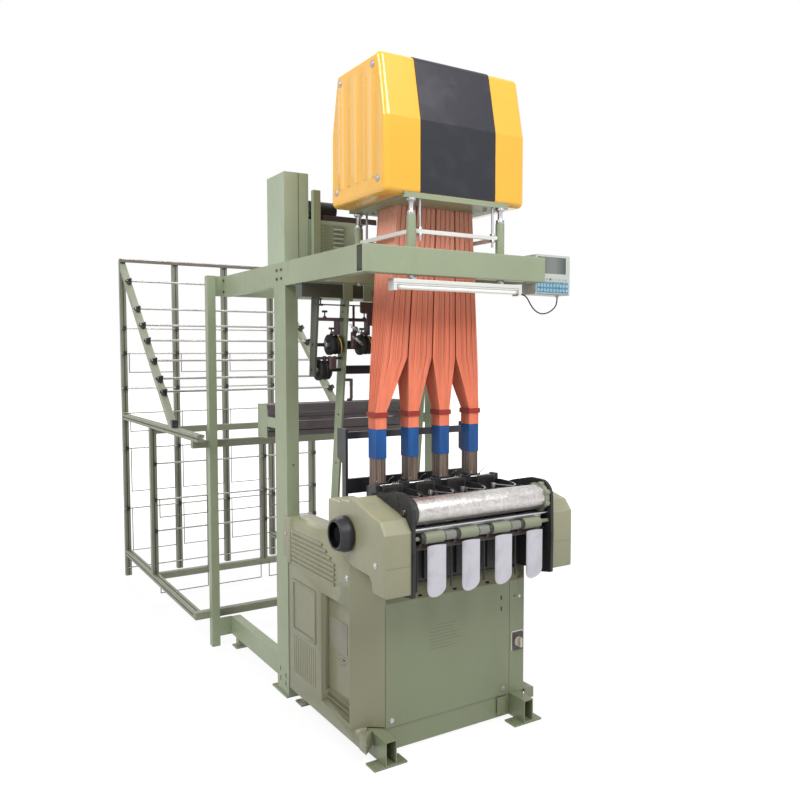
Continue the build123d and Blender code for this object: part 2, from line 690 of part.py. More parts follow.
# Curved fabric chutes with round ends, hung from the bar
chute_sag = 12
chute_radius = (CHUTE_W * CHUTE_W / 4 + chute_sag * chute_sag) / (2 * chute_sag)
chute_back = CHUTE_FRONT + chute_sag + CHUTE_T
with BuildPart() as fabric_chutes:
    for x in head_x:
        with BuildSketch(Plane.XY.offset(CHUTE_TOP - CHUTE_L)):
            with BuildLine():
                a = ThreePointArc((x - CHUTE_W / 2, CHUTE_FRONT), (x, CHUTE_FRONT + chute_sag), (x + CHUTE_W / 2, CHUTE_FRONT))
                b = ThreePointArc(
                    (x - CHUTE_W / 2, CHUTE_FRONT + CHUTE_T),
                    (x, CHUTE_FRONT + chute_sag + CHUTE_T),
                    (x + CHUTE_W / 2, CHUTE_FRONT + CHUTE_T),
                )
                Line(a @ 0, b @ 0)
                Line(a @ 1, b @ 1)
            make_face()
        extrude(amount=CHUTE_L)
        with BuildSketch(Plane.XZ.offset(-CHUTE_FRONT + 2)):
            with Locations((x, CHUTE_TOP - CHUTE_L + CHUTE_W / 4)):
                Rectangle(CHUTE_W + 4, CHUTE_W / 2 + 2)
            with Locations((x, CHUTE_TOP - CHUTE_L + CHUTE_W / 2)):
                Circle(CHUTE_W / 2, mode=Mode.SUBTRACT)
        extrude(amount=-30, mode=Mode.SUBTRACT)
        block(x - 18, x + 18, chute_back - 1, BAR_Y - BAR_R + 2, BAR_Z - 2, BAR_Z + 2)
    rod_x(inner_left, inner_right, BAR_Y, BAR_Z, BAR_R, Mode.SUBTRACT)
save(fabric_chutes, "fabric_chutes")

# Weft needles: a curved arm on an upright shaft beside each tape
for number, x in enumerate(head_x, 1):
    pivot_x = x - WEFT_PIVOT_BACK
    with BuildPart() as weft_needle:
        rod_z(pivot_x, WEFT_PIVOT_Y, 978, weft_bar_top, WEFT_SHAFT_R)
        rod_z(pivot_x, WEFT_PIVOT_Y, WEFT_Z - 10, weft_bar_top + 3, 9)
        rod_z(pivot_x, WEFT_PIVOT_Y, 974, 984, 9)
        with BuildSketch(Plane.XY.offset(WEFT_Z)):
            with BuildLine():
                far = CenterArc((pivot_x, WEFT_PIVOT_Y), WEFT_R, -60, 55)
                near = CenterArc((pivot_x, WEFT_PIVOT_Y), WEFT_R - 5, -60, 52)
                Line(far @ 0, near @ 0)
                Line(far @ 1, near @ 1)
            make_face()
            with Locations(Location((pivot_x, WEFT_PIVOT_Y, 0), (0, 0, -60))):
                with Locations((WEFT_R / 2, 0)):
                    Rectangle(WEFT_R, WEFT_ARM_W)
        extrude(amount=WEFT_T)
    save(weft_needle, f"weft_needle_{number}")

# Sley: pivot shaft, two swords, the bar and a reed for each tape
with BuildPart() as reed_sley:
    rod_x(inner_left - PLATE_T + 2, inner_right + PLATE_T - 2, SLEY_PIVOT_Y, SLEY_PIVOT_Z, SLEY_SHAFT_R)
    for x in (inner_left + 16, inner_right - 28):
        side_profile(
            [
                (SLEY_PIVOT_Y - 16, SLEY_PIVOT_Z - 14),
                (SLEY_PIVOT_Y + 16, SLEY_PIVOT_Z - 14),
                (SLEY_PIVOT_Y + 14, SLEY_PIVOT_Z + 20),
                (SLEY_BAR_Y + 22, SLEY_BAR_TOP - 15),
                (SLEY_BAR_Y + 22, SLEY_BAR_TOP),
                (SLEY_BAR_Y + 6, SLEY_BAR_TOP),
                (SLEY_BAR_Y + 12, SLEY_BAR_TOP - 30),
                (SLEY_PIVOT_Y - 8, SLEY_PIVOT_Z + 20),
            ],
            x,
            x + 12,
        )
    block(inner_left + 16, inner_right - 16, SLEY_BAR_Y, SLEY_BAR_Y + 22, SLEY_BAR_TOP - 15, SLEY_BAR_TOP)
    for x in head_x:
        block(x - REED_W / 2, x + REED_W / 2, SLEY_BAR_Y + 6, SLEY_BAR_Y + 6 + REED_T, SLEY_BAR_TOP, SLEY_BAR_TOP + REED_H)
        dent = (REED_W - 16) / REED_DENTS
        with Locations((x, SLEY_BAR_Y + 6 + REED_T / 2, SLEY_BAR_TOP + REED_H / 2)):
            with GridLocations(dent, 1, REED_DENTS, 1):
                Box(dent * 0.55, REED_T + 2, REED_H - 24, mode=Mode.SUBTRACT)
save(reed_sley, "reed_sley")

# Needle bar that slides on the guide rods, one latch needle for each tape
with BuildPart() as knitting_bar:
    block(inner_left + 2, inner_right - 2, NEEDLE_BAR_Y, NEEDLE_BAR_Y + NEEDLE_BAR_W, NEEDLE_BAR_Z, NEEDLE_BAR_Z + NEEDLE_BAR_W)
    for x in (inner_left + 8, inner_right - 8):
        rod_y(x, NEEDLE_BAR_Y - 1, NEEDLE_BAR_Y + NEEDLE_BAR_W + 1, NEEDLE_BAR_Z + NEEDLE_BAR_W / 2, GUIDE_ROD_R + RUN_FIT, Mode.SUBTRACT)
    for x in head_x:
        block(x + 46, x + 54, NEEDLE_BAR_Y, NEEDLE_BAR_Y + NEEDLE_BAR_W, NEEDLE_BAR_Z + NEEDLE_BAR_W, NEEDLE_Z + 3)
        rod_y(x + 50, NEEDLE_BAR_Y + 4, 40, NEEDLE_Z, 1.5)
save(knitting_bar, "knitting_bar")

# Heald guides on their beam, and the frame that holds the harness rail
with BuildPart() as heald_stand:
    block(inner_left, inner_right, HARNESS_Y - 35, HARNESS_Y + 29, 850, 880)
    for x in head_x:
        block(x - 36, x + 36, HARNESS_Y - 35, HARNESS_Y + 33, 880, HEALD_BOTTOM)
        block(x - 28, x + 28, HARNESS_Y - 36, HARNESS_Y - 29, 900, HEALD_BOTTOM - 22, Mode.SUBTRACT)
    for x0 in (inner_left + 2, inner_right - 14):
        side_profile([(388, BED_TOP), (422, BED_TOP), (422, 1140), (466, 1162), (466, 1290), (388, 1290)], x0, x0 + 12)
    block(inner_left + 14, inner_right - 14, 392, 408, 1246, 1276)
    block(inner_left + 14, inner_right - 14, 392, 408, 1008, 1072)
save(heald_stand, "heald_stand")


# Harness cords: one block under the head that parts into a bundle for each tape
harness_sides = [
    (SLEEVE_TOP, BUNDLE_D),
    (COLLAR_Z + COLLAR_H, BUNDLE_D),
    (HARNESS_JOIN, JOIN_D),
    (HARNESS_TOP, BLOCK_D),
]
with BuildPart() as harness_cords:
    top_w = 2 * BLOCK_HALF / HEADS
    join_w = 2 * JOIN_HALF / HEADS
    for i, x in enumerate(head_x):
        place = i - (HEADS - 1) / 2
        stations = [
            (SLEEVE_TOP, x, BUNDLE_W),
            (COLLAR_Z + COLLAR_H, x, BUNDLE_W),
            (HARNESS_JOIN, CENTRE + place * join_w, join_w - 1),
            (HARNESS_TOP, CENTRE + place * top_w, top_w - 1),
        ]
        with BuildSketch(Plane.XZ.offset(-HARNESS_Y)):
            with BuildLine():
                left_side = [(middle - width / 2, z) for z, middle, width in stations]
                right_side = [(middle + width / 2, z) for z, middle, width in reversed(stations)]
                Polyline(*left_side, *right_side, close=True)
            make_face()
        extrude(amount=BLOCK_D, both=True)
    front_side = [(HARNESS_Y - depth / 2, z) for z, depth in harness_sides]
    back_side = [(HARNESS_Y + depth / 2, z) for z, depth in reversed(harness_sides)]
    side_profile(front_side + back_side, CENTRE - 400, CENTRE + 400, mode=Mode.INTERSECT)
save(harness_cords, "harness_cords")

# Collars round the bundles, sleeves below them and the healds
with BuildPart() as harness_sleeves:
    for x in head_x:
        with Locations((x, HARNESS_Y, COLLAR_Z + COLLAR_H / 2)):
            Box(BUNDLE_W + 8, BUNDLE_D + 8, COLLAR_H)
            Box(BUNDLE_W + 0.2, BUNDLE_D + 0.2, COLLAR_H + 2, mode=Mode.SUBTRACT)
        with Locations((x, HARNESS_Y, (SLEEVE_TOP + SLEEVE_BOTTOM) / 2)):
            Box(BUNDLE_W - 3, BUNDLE_D - 3, SLEEVE_TOP - SLEEVE_BOTTOM)
        with Locations((x, HARNESS_Y, (SLEEVE_BOTTOM + HEALD_BOTTOM) / 2)):
            Box(BUNDLE_W - 8, BUNDLE_D - 8, SLEEVE_BOTTOM - HEALD_BOTTOM)
save(harness_sleeves, "harness_sleeves")

# Jacquard head: a moulded cover with raked upper faces
head_outline = [
    (HEAD_FRONT, HEAD_BOTTOM),
    (HEAD_FRONT, HEAD_CREASE),
    (HEAD_FRONT + HEAD_LEAN, HEAD_TOP),
    (HEAD_REAR - HEAD_LEAN, HEAD_TOP),
    (HEAD_REAR, HEAD_CREASE),
    (HEAD_REAR, HEAD_BOTTOM),
]
head_left = CENTRE - HEAD_HALF
head_right = CENTRE + HEAD_HALF
with BuildPart() as head_core:
    with BuildSketch(Plane.YZ.offset(head_left + HEAD_SKIN)) as outline:
        with BuildLine():
            Polyline(*head_outline, close=True)
        make_face()
        offset(amount=-HEAD_SKIN)
        chamfer(outline.vertices(), 10)
    extrude(amount=2 * (HEAD_HALF - HEAD_SKIN))
    for end in (0, -1):
        chamfer(head_core.faces().filter_by(Axis.X).sort_by(Axis.X)[end].edges(), 12)

with BuildPart() as jacquard_cover:
    side_profile(head_outline, head_left, head_right, corner=26)
    for end in (0, -1):
        fillet(jacquard_cover.faces().filter_by(Axis.X).sort_by(Axis.X)[end].edges(), 25)
    add(head_core.part, mode=Mode.SUBTRACT)
    block(CENTRE - PLATE_HALF, CENTRE + PLATE_HALF, HEAD_FRONT - 1, HEAD_REAR + 1, HEAD_BOTTOM - 1, HEAD_BOTTOM + 12, Mode.SUBTRACT)
    # Corrugations down both end faces
    for x, way in ((head_left, -1), (head_right, 1)):
        for y in (110, 180, 250, 320, 390):
            with BuildSketch(Plane.XY.offset(HEAD_BOTTOM + 70)):
                with Locations((x - way * 0.5, y)):
                    Ellipse(3.5, 13)
            extrude(amount=400)
save(jacquard_cover, "jacquard_cover")

panel_t = 2.5
with BuildPart() as cover_panel:
    for grow, mode in ((panel_t, Mode.ADD), (0, Mode.SUBTRACT)):
        with BuildSketch(Plane.YZ.offset(CENTRE - CENTRE_PANEL_HALF)) as outline:
            with BuildLine():
                Polyline(*head_outline, close=True)
            make_face()
            fillet(outline.vertices(), 26)
            if grow:
                offset(amount=grow)
        extrude(amount=2 * CENTRE_PANEL_HALF, mode=mode)
    block(
        CENTRE - CENTRE_PANEL_HALF - 1,
        CENTRE + CENTRE_PANEL_HALF + 1,
        HEAD_FRONT - 10,
        HEAD_REAR + 10,
        HEAD_BOTTOM - 10,
        HEAD_BOTTOM + 14,
        Mode.SUBTRACT,
    )
save(cover_panel, "cover_panel")

with BuildPart() as head_base_plate:
    block(CENTRE - PLATE_HALF, CENTRE + PLATE_HALF, HEAD_FRONT - 2, HEAD_REAR - 4, PLATE_BOTTOM, PLATE_BOTTOM + PLATE_THICK)
    block(
        CENTRE - BLOCK_HALF - 7,
        CENTRE + BLOCK_HALF + 7,
        HARNESS_Y - BLOCK_D / 2 - 5,
        HARNESS_Y + BLOCK_D / 2 + 5,
        PLATE_BOTTOM - 1,
        PLATE_BOTTOM + PLATE_THICK + 1,
        Mode.SUBTRACT,
    )
    fillet(head_base_plate.edges().filter_by(Axis.Z).group_by(Axis.Y)[0], 12)
save(head_base_plate, "head_base_plate")

# Hook modules inside the head
plate_top = PLATE_BOTTOM + PLATE_THICK
with BuildPart() as hook_modules:
    block(CENTRE - 200, CENTRE + 200, 120, 420, HARNESS_TOP + 0.5, 2700)
    for x0, x1 in ((CENTRE - 212, CENTRE - 200), (CENTRE + 200, CENTRE + 212)):
        block(x0, x1, 120, 420, plate_top, 2700)
    with Locations((CENTRE, 270, 2700)):
        with GridLocations(33, 1, 11, 1):
            Box(4, 302, 2 * (2700 - HARNESS_TOP - 60), mode=Mode.SUBTRACT)
save(hook_modules, "hook_modules")

# Jack posts on the beams, and their screws with nut and flange
jack_places = [(CENTRE + s * JACK_HALF, y) for s in (-1, 1) for y in (JACK_FRONT_Y, JACK_REAR_Y)]
with BuildPart() as jack_posts:
    for x, y in jack_places:
        rod_z(x, y, BEAM_TOP, JACK_TOP, JACK_R)
        rod_z(x, y, BEAM_TOP + 20, JACK_TOP + 1, JACK_SCREW_R + 0.2, Mode.SUBTRACT)
save(jack_posts, "jack_posts")

with BuildPart() as jack_screws:
    for x, y in jack_places:
        rod_z(x, y, BEAM_TOP + 40, PLATE_BOTTOM - 1, JACK_SCREW_R)
        rod_z(x, y, PLATE_BOTTOM - 10, PLATE_BOTTOM, 20)
        rod_z(x, y, PLATE_BOTTOM - 16, PLATE_BOTTOM - 10, 14)
        with BuildSketch(Plane.XY.offset(JACK_TOP)):
            with Locations((x, y)):
                RegularPolygon(19, 6)
        extrude(amount=16)
save(jack_screws, "jack_screws")

# White guide frame between the jack posts, hung on four rods
with BuildPart() as guide_frame:
    for y in (JACK_FRONT_Y, JACK_REAR_Y):
        block(CENTRE - JACK_HALF + JACK_R, CENTRE + JACK_HALF - JACK_R, y - 8, y + 8, GUIDE_Z, GUIDE_Z + GUIDE_H)
        for side in (-1, 1):
            x = CENTRE + side * ROD_HALF
            rod_z(x, y, GUIDE_Z - 30, PLATE_BOTTOM, 5)
            rod_z(x, y, GUIDE_Z - 10, GUIDE_Z, 10)
            rod_z(x, y, GUIDE_Z + GUIDE_H, GUIDE_Z + GUIDE_H + 9, 10)
    for side in (-1, 1):
        x = CENTRE + side * (JACK_HALF - 2)
        block(x - 6, x + 6, JACK_FRONT_Y + JACK_R, JACK_REAR_Y - JACK_R, GUIDE_Z, GUIDE_Z + GUIDE_H)
save(guide_frame, "guide_frame")

# Gantry columns, and rear posts with their gusset plates
with BuildPart() as gantry_columns:
    for side in (-1, 1):
        outer = CENTRE + side * GANTRY_HALF
        inner = outer - side * COLUMN_W
        x0, x1 = min(outer, inner), max(outer, inner)
        box_tube_z(x0, x1, column_front, column_rear, PAD_T, BEAM_BOTTOM, BEAM_WALL)
        block(x0 - 10, x1 + 10, column_front + 2, column_rear + 45, 0, PAD_T)
        for y, z in ((column_front + 34, 60), (column_front + 34, 96), (column_rear - 36, 66), (column_rear - 36, 112)):
            block(outer - side * 8, outer + side * 8, y - 5, y + 5, z - 12, z + 12, Mode.SUBTRACT)
        post_in = CENTRE + side * REAR_POST_HALF
        post_out = post_in + side * REAR_POST_W
        p0, p1 = min(post_in, post_out), max(post_in, post_out)
        box_tube_z(p0, p1, GANTRY_REAR - REAR_POST_D, GANTRY_REAR, 0, BEAM_TOP, 3)
        gusset_y = GANTRY_REAR - 30
        block(post_in, outer, gusset_y, gusset_y + 8, BEAM_BOTTOM, BEAM_TOP)
        rail_out = CENTRE + side * (RAIL_HALF + BEAM_W)
        block(post_in, rail_out, GANTRY_REAR - REAR_POST_D, GANTRY_REAR - REAR_POST_D + 8, RAIL_BOTTOM, RAIL_TOP)
save(gantry_columns, "gantry_columns")

with BuildPart() as side_beams:
    for side in (-1, 1):
        outer = CENTRE + side * GANTRY_HALF
        inner = outer - side * BEAM_W
        box_tube_y(min(outer, inner), max(outer, inner), FRONT_BEAM_Y + BEAM_W, GANTRY_REAR, BEAM_BOTTOM, BEAM_TOP, BEAM_WALL)
save(side_beams, "side_beams")

with BuildPart() as front_beam:
    x0, x1 = CENTRE - GANTRY_HALF, CENTRE + GANTRY_HALF
    block(x0, x1, FRONT_BEAM_Y, FRONT_BEAM_Y + BEAM_W, BEAM_BOTTOM, BEAM_TOP)
    fillet(front_beam.edges().filter_by(Axis.X), 4)
    block(
        x0 - 1,
        x1 + 1,
        FRONT_BEAM_Y + BEAM_WALL,
        FRONT_BEAM_Y + BEAM_W - BEAM_WALL,
        BEAM_BOTTOM + BEAM_WALL,
        BEAM_TOP - BEAM_WALL,
        Mode.SUBTRACT,
    )
save(front_beam, "front_beam")

# Cross beams, the hanger beam under the side beams and its bearing plate
beam_inner = GANTRY_HALF - BEAM_W
hanger_beam = (HANGER_TOP_Y - 29, HANGER_TOP_Y + 31)
with BuildPart() as cross_beams:
    for y0, y1 in ((JACK_REAR_Y - 25, JACK_REAR_Y + 25), (column_front + 20, column_rear - 20), (GANTRY_REAR - 60, GANTRY_REAR - 32)):
        block(CENTRE - beam_inner, CENTRE + beam_inner, y0, y1, BEAM_BOTTOM, BEAM_TOP)
        block(CENTRE - beam_inner - 1, CENTRE + beam_inner + 1, y0 + 4, y1 - 4, BEAM_BOTTOM + 4, BEAM_TOP - 4, Mode.SUBTRACT)
    block(CENTRE - GANTRY_HALF + 6, CENTRE + GANTRY_HALF - 6, *hanger_beam, HANGER_TOP, BEAM_BOTTOM)
    side_profile(
        [
            (hanger_beam[0], HANGER_TOP),
            (hanger_y(FEED_HEIGHTS[1]) - 26, FEED_HEIGHTS[1] - 30),
            (hanger_y(FEED_HEIGHTS[1]) + 26, FEED_HEIGHTS[1] - 30),
            (hanger_beam[1] + 6, HANGER_TOP),
        ],
        FEED_LEFT,
        FEED_LEFT + 10,
    )
    for z in FEED_HEIGHTS:
        rod_x(FEED_LEFT - 1, FEED_LEFT + 11, hanger_y(z), z, FEED_SHAFT_R + RUN_FIT, Mode.SUBTRACT)
    rod_x(FEED_LEFT - 1, FEED_LEFT + 11, hanger_y(FEED_BAR_Z), FEED_BAR_Z, FEED_SHAFT_R, Mode.SUBTRACT)
save(cross_beams, "cross_beams")

# Leaning flat bars that carry the warp feed
with BuildPart() as hanger_bars:
    for side in (-1, 1):
        x0 = CENTRE + side * (HANGER_HALF + HANGER_T / 2) - HANGER_T / 2
        side_profile(
            [
                (hanger_y(HANGER_TOP) - HANGER_W / 2, HANGER_TOP),
                (hanger_y(HANGER_TOP) + HANGER_W / 2, HANGER_TOP),
                (hanger_y(BED_TOP) + HANGER_W / 2, BED_TOP),
                (hanger_y(BED_TOP) - HANGER_W / 2, BED_TOP),
            ],
            x0,
            x0 + HANGER_T,
        )
        for z in FEED_HEIGHTS:
            rod_x(x0 - 1, x0 + HANGER_T + 1, hanger_y(z), z, FEED_SHAFT_R + RUN_FIT, Mode.SUBTRACT)
        rod_x(x0 - 1, x0 + HANGER_T + 1, hanger_y(FEED_BAR_Z), FEED_BAR_Z, FEED_SHAFT_R, Mode.SUBTRACT)
        for z in (1330, 1100):
            rod_x(x0 - 1, x0 + HANGER_T + 1, hanger_y(z), z, 7, Mode.SUBTRACT)
save(hanger_bars, "hanger_bars")

# Floor rails from the columns to the rear posts, each with a rear pad
with BuildPart() as floor_rails:
    for side in (-1, 1):
        inner = CENTRE + side * RAIL_HALF
        outer = inner + side * BEAM_W
        x0, x1 = min(inner, outer), max(inner, outer)
        box_tube_y(x0, x1, column_rear, RAIL_REAR, RAIL_BOTTOM, RAIL_TOP, BEAM_WALL)
        block(outer - side * 20, outer - side * 26, RAIL_REAR, RAIL_REAR + 5, RAIL_BOTTOM, RAIL_TOP)
        block(x0 - 10, x1 + 10, RAIL_REAR - 95, RAIL_REAR - 25, 0, PAD_T)
        block(x0 + 8, x1 - 8, RAIL_REAR - 80, RAIL_REAR - 40, PAD_T, RAIL_BOTTOM)
        block(x0, x1, RAIL_REAR, RAIL_REAR + 5, RAIL_BOTTOM, RAIL_TOP)
save(floor_rails, "floor_rails")

# Sheet metal boxes on the gantry: the tall drive box and the louvred control box
tall_x = (CENTRE - GANTRY_HALF, CENTRE - GANTRY_HALF + 120)
low_x = (tall_x[1] + 2, tall_x[1] + 256)
box_y = (column_front + 2, column_rear + 70)
with BuildPart() as roof_boxes:
    block(*tall_x, *box_y, BEAM_TOP, 2440)
    fillet(roof_boxes.edges().group_by(Axis.Z)[-1], 4)
    block(tall_x[0] + COLUMN_W, tall_x[0] + COLUMN_W + 2, box_y[0] - 1, box_y[0] + 1, BEAM_TOP, 2436, Mode.SUBTRACT)
    block(tall_x[0] + 2, tall_x[1] - 2, box_y[0] + 2, box_y[1] - 2, BEAM_TOP - 1, 2438, Mode.SUBTRACT)
    block(*low_x, box_y[0], box_y[1] - 40, BEAM_TOP, 2234)
    block(low_x[0] + 2, low_x[1] - 2, box_y[0] + 2, box_y[1] - 42, BEAM_TOP - 1, 2232, Mode.SUBTRACT)
    for i in range(6):
        z = 2104 + i * 19
        block(low_x[0] + 124, low_x[0] + 176, box_y[0] - 1, box_y[0] + 3, z, z + 8, Mode.SUBTRACT)
    for column in (24, 74):
        for i in range(8):
            rod_y(low_x[0] + column, box_y[0] - 1, box_y[0] + 3, 2090 + i * 16, 3, Mode.SUBTRACT)
    # Fan on top of the louvred box
    block(low_x[0] + 40, low_x[0] + 150, box_y[0] + 20, box_y[0] + 120, 2234, 2250)
    rod_x(low_x[0] + 30, low_x[0] + 160, box_y[0] + 70, 2290, 42)
save(roof_boxes, "roof_boxes")

# Twin-tube lamp under the front beam
with BuildPart() as lamp_housing:
    block(LAMP_LEFT, LAMP_RIGHT, LAMP_Y - 22, LAMP_Y + 22, LAMP_Z + 14, LAMP_Z + 32)
    fillet(lamp_housing.edges().filter_by(Axis.X), 4)
    for x in (LAMP_LEFT, LAMP_RIGHT - 14):
        block(x, x + 14, LAMP_Y - 21, LAMP_Y + 21, LAMP_Z - 14, LAMP_Z + 15)
    for x in (LAMP_LEFT + 90, LAMP_RIGHT - 110):
        block(x, x + 20, LAMP_Y - 12, LAMP_Y + 12, LAMP_Z + 32, BEAM_BOTTOM)
    rod_x(LAMP_RIGHT, LAMP_RIGHT + 7, LAMP_Y, LAMP_Z - 6, 6)
    for y in (LAMP_Y - 11, LAMP_Y + 11):
        rod_x(LAMP_LEFT + 8, LAMP_RIGHT - 8, y, LAMP_Z, LAMP_TUBE_R + 0.1, Mode.SUBTRACT)
save(lamp_housing, "lamp_housing")

with BuildPart() as lamp_tubes:
    for y in (LAMP_Y - 11, LAMP_Y + 11):
        rod_x(LAMP_LEFT + 8, LAMP_RIGHT - 8, y, LAMP_Z, LAMP_TUBE_R)
save(lamp_tubes, "lamp_tubes")

# Control panel beside the right side beam
panel_x1 = PANEL_X + PANEL_W
with BuildPart() as control_panel:
    block(PANEL_X, panel_x1, PANEL_FRONT, PANEL_FRONT + PANEL_D, PANEL_BOTTOM, PANEL_TOP)
    fillet(control_panel.edges().filter_by(Axis.Y), 5)
    block(PANEL_X + 4, panel_x1 - 4, PANEL_FRONT + 4, PANEL_FRONT + PANEL_D - 4, PANEL_BOTTOM + 4, PANEL_TOP - 4, Mode.SUBTRACT)
    screen_z = (PANEL_TOP - 84, PANEL_TOP - 10)
    keys_z = (PANEL_BOTTOM + 8, PANEL_BOTTOM + 58)
    block(PANEL_X + 14, panel_x1 - 24, PANEL_FRONT - 1, PANEL_FRONT + 5, *screen_z, Mode.SUBTRACT)
    block(PANEL_X + 8, panel_x1 - 8, PANEL_FRONT - 1, PANEL_FRONT + 1.5, *keys_z, Mode.SUBTRACT)
    block(CENTRE + GANTRY_HALF, PANEL_X, PANEL_FRONT + 20, PANEL_FRONT + 70, BEAM_BOTTOM + 10, BEAM_TOP - 10)
    rod_z(648, 120, PANEL_BOTTOM - 8, PANEL_BOTTOM + 1, 7)
save(control_panel, "control_panel")

# Screen and keypad film with its keys
key_w = (PANEL_W - 26) / 10
with BuildPart() as panel_face:
    block(PANEL_X + 14.2, panel_x1 - 24.2, PANEL_FRONT + 2, PANEL_FRONT + 6, screen_z[0] + 0.2, screen_z[1] - 0.2)
    block(PANEL_X + 8.2, panel_x1 - 8.2, PANEL_FRONT + 0.3, PANEL_FRONT + 1.5, keys_z[0] + 0.2, keys_z[1] - 0.2)
    with Locations((PANEL_X + PANEL_W / 2, PANEL_FRONT - 0.2, (keys_z[0] + keys_z[1]) / 2)):
        for i in range(10):
            for row in (-1, 1):
                with Locations(((i - 4.5) * key_w, 0, row * 11)):
                    Box(key_w - 4, 1, 16)
save(panel_face, "panel_face")

# Cable from the lamp to the panel, hanging in one long sag
cable_points = [
    (LAMP_RIGHT + 7, LAMP_Y, LAMP_Z - 6),
    (LAMP_RIGHT + 31, LAMP_Y, LAMP_Z - 6),
    (408, 50, 1858),
    (446, 74, 1834),
    (488, 94, 1808),
    (540, 108, 1792),
    (592, 114, 1800),
    (636, 119, 1826),
    (648, 120, 1850),
    (648, 120, PANEL_BOTTOM - 8),
]
cable_radii = []
for before, corner, after in zip(cable_points[:-2], cable_points[1:-1], cable_points[2:]):
    run_in = Vector(*corner) - Vector(*before)
    run_out = Vector(*after) - Vector(*corner)
    half_turn = radians(run_in.get_angle(run_out) / 2)
    cable_radii.append(0.45 * min(run_in.length, run_out.length) * cos(half_turn) / sin(half_turn))
print("cable radii", [round(r) for r in cable_radii])
with BuildPart() as panel_cable:
    with BuildLine() as route:
        FilletPolyline(*cable_points, radius=cable_radii)
    with BuildSketch(Plane(origin=route.line @ 0, z_dir=route.line % 0)):
        Circle(CABLE_R)
    sweep()
cable_length = sum(edge.length for edge in route.edges())
print("cable length", round(cable_length), "mean section", panel_cable.part.volume / cable_length)
save(panel_cable, "panel_cable")

# Warp feed shafts with their discs and rubber rollers
for number, (z, discs) in enumerate(zip(FEED_HEIGHTS, ((-276, -118), (-326,))), 1):
    y = hanger_y(z)
    with BuildPart() as feed_shaft:
        rod_x(FEED_LEFT + 1, FEED_RIGHT, y, z, FEED_SHAFT_R)
        for x in discs:
            rod_x(x, x + FEED_DISC_W, y, z, FEED_DISC_R)
        rod_x(CENTRE - HANGER_HALF + MOVE_GAP, CENTRE + HANGER_HALF - MOVE_GAP, y, z, 20)
    save(feed_shaft, f"feed_shaft_{number}")

# Warp guide: end plates on arms, fixed guide bars and the upper yarn bar
guide_half = 400
with BuildPart() as warp_guide:
    for side in (-1, 1):
        a = CENTRE + side * (guide_half + 2)
        b = CENTRE + side * (guide_half + 8)
        block(min(a, b), max(a, b), WARP_GUIDE_Y - 60, WARP_GUIDE_Y + 60, 1190, 1360)
        block(min(a, b), max(a, b), column_rear, WARP_GUIDE_Y - 60, 1250, 1300)
    for y, z in ((-40, 1345), (40, 1345), (-46, 1300), (0, 1292), (46, 1300), (-30, 1248), (30, 1248), (0, 1208)):
        rod_x(CENTRE - guide_half - 2, CENTRE + guide_half + 2, WARP_GUIDE_Y + y, z, 15)
    rod_x(FEED_LEFT, CENTRE + HANGER_HALF + 20, hanger_y(FEED_BAR_Z), FEED_BAR_Z, FEED_SHAFT_R)
save(warp_guide, "warp_guide")

# Creel posts: the tall rear row and the low middle row
half_bar = CREEL_BAR / 2
with BuildPart() as creel_posts:
    for x in creel_x:
        block(x - half_bar, x + half_bar, CREEL_REAR, CREEL_REAR + CREEL_BAR, 0, CREEL_TOP)
    for x in creel_x:
        outermost = x in (creel_x[0], creel_x[-1])
        top = CREEL_RAIL if outermost else CREEL_RAIL - CREEL_BAR
        block(x - half_bar, x + half_bar, CREEL_MIDDLE, CREEL_MIDDLE + CREEL_BAR, CREEL_LOW + CREEL_BAR, top)
save(creel_posts, "creel_posts")


def slot_rail_y(x, y0, y1, z0):
    """A square extrusion along Y with a slot in its outer and upper faces."""
    block(x - half_bar, x + half_bar, y0, y1, z0, z0 + CREEL_BAR)
    block(x - 4, x + 4, y0 - 1, y1 + 1, z0 + CREEL_BAR - 9, z0 + CREEL_BAR + 1, Mode.SUBTRACT)
    for side in (-1, 1):
        edge = x + side * half_bar
        block(edge - side * 9, edge + side, y0 - 1, y1 + 1, z0 + half_bar - 4, z0 + half_bar + 4, Mode.SUBTRACT)


with BuildPart() as creel_side_rails:
    for x, front in ((creel_x[0], CREEL_SIDE_FRONT), (creel_x[-1], GANTRY_REAR)):
        slot_rail_y(x, GANTRY_REAR + CREEL_BAR, CREEL_REAR, CREEL_LOW)
        slot_rail_y(x, front, CREEL_REAR, CREEL_RAIL)
save(creel_side_rails, "creel_side_rails")

with BuildPart() as creel_cross_rails:
    for z in (CREEL_LOW, CREEL_RAIL - CREEL_BAR):
        block(creel_x[0] - half_bar, creel_x[-1] + half_bar, GANTRY_REAR, GANTRY_REAR + CREEL_BAR, z, z + CREEL_BAR)
        block(creel_x[0] + half_bar, creel_x[-1] - half_bar, CREEL_MIDDLE, CREEL_MIDDLE + CREEL_BAR, z, z + CREEL_BAR)
save(creel_cross_rails, "creel_cross_rails")

# Sloping extrusions with their rod clamps
incline_foot_z = CREEL_RAIL + CREEL_BAR
slope_y = INCLINE_HEAD_Y - INCLINE_FOOT_Y
slope_z = INCLINE_HEAD_Z - incline_foot_z
slope_l = hypot(slope_y, slope_z)
up_y, up_z = -slope_z / slope_l, slope_y / slope_l


def incline_point(z, lift):
    """A point over the incline at a height along it, lifted square to it."""
    t = (z - incline_foot_z) / slope_z
    return INCLINE_FOOT_Y + t * slope_y + up_y * lift, z + up_z * lift


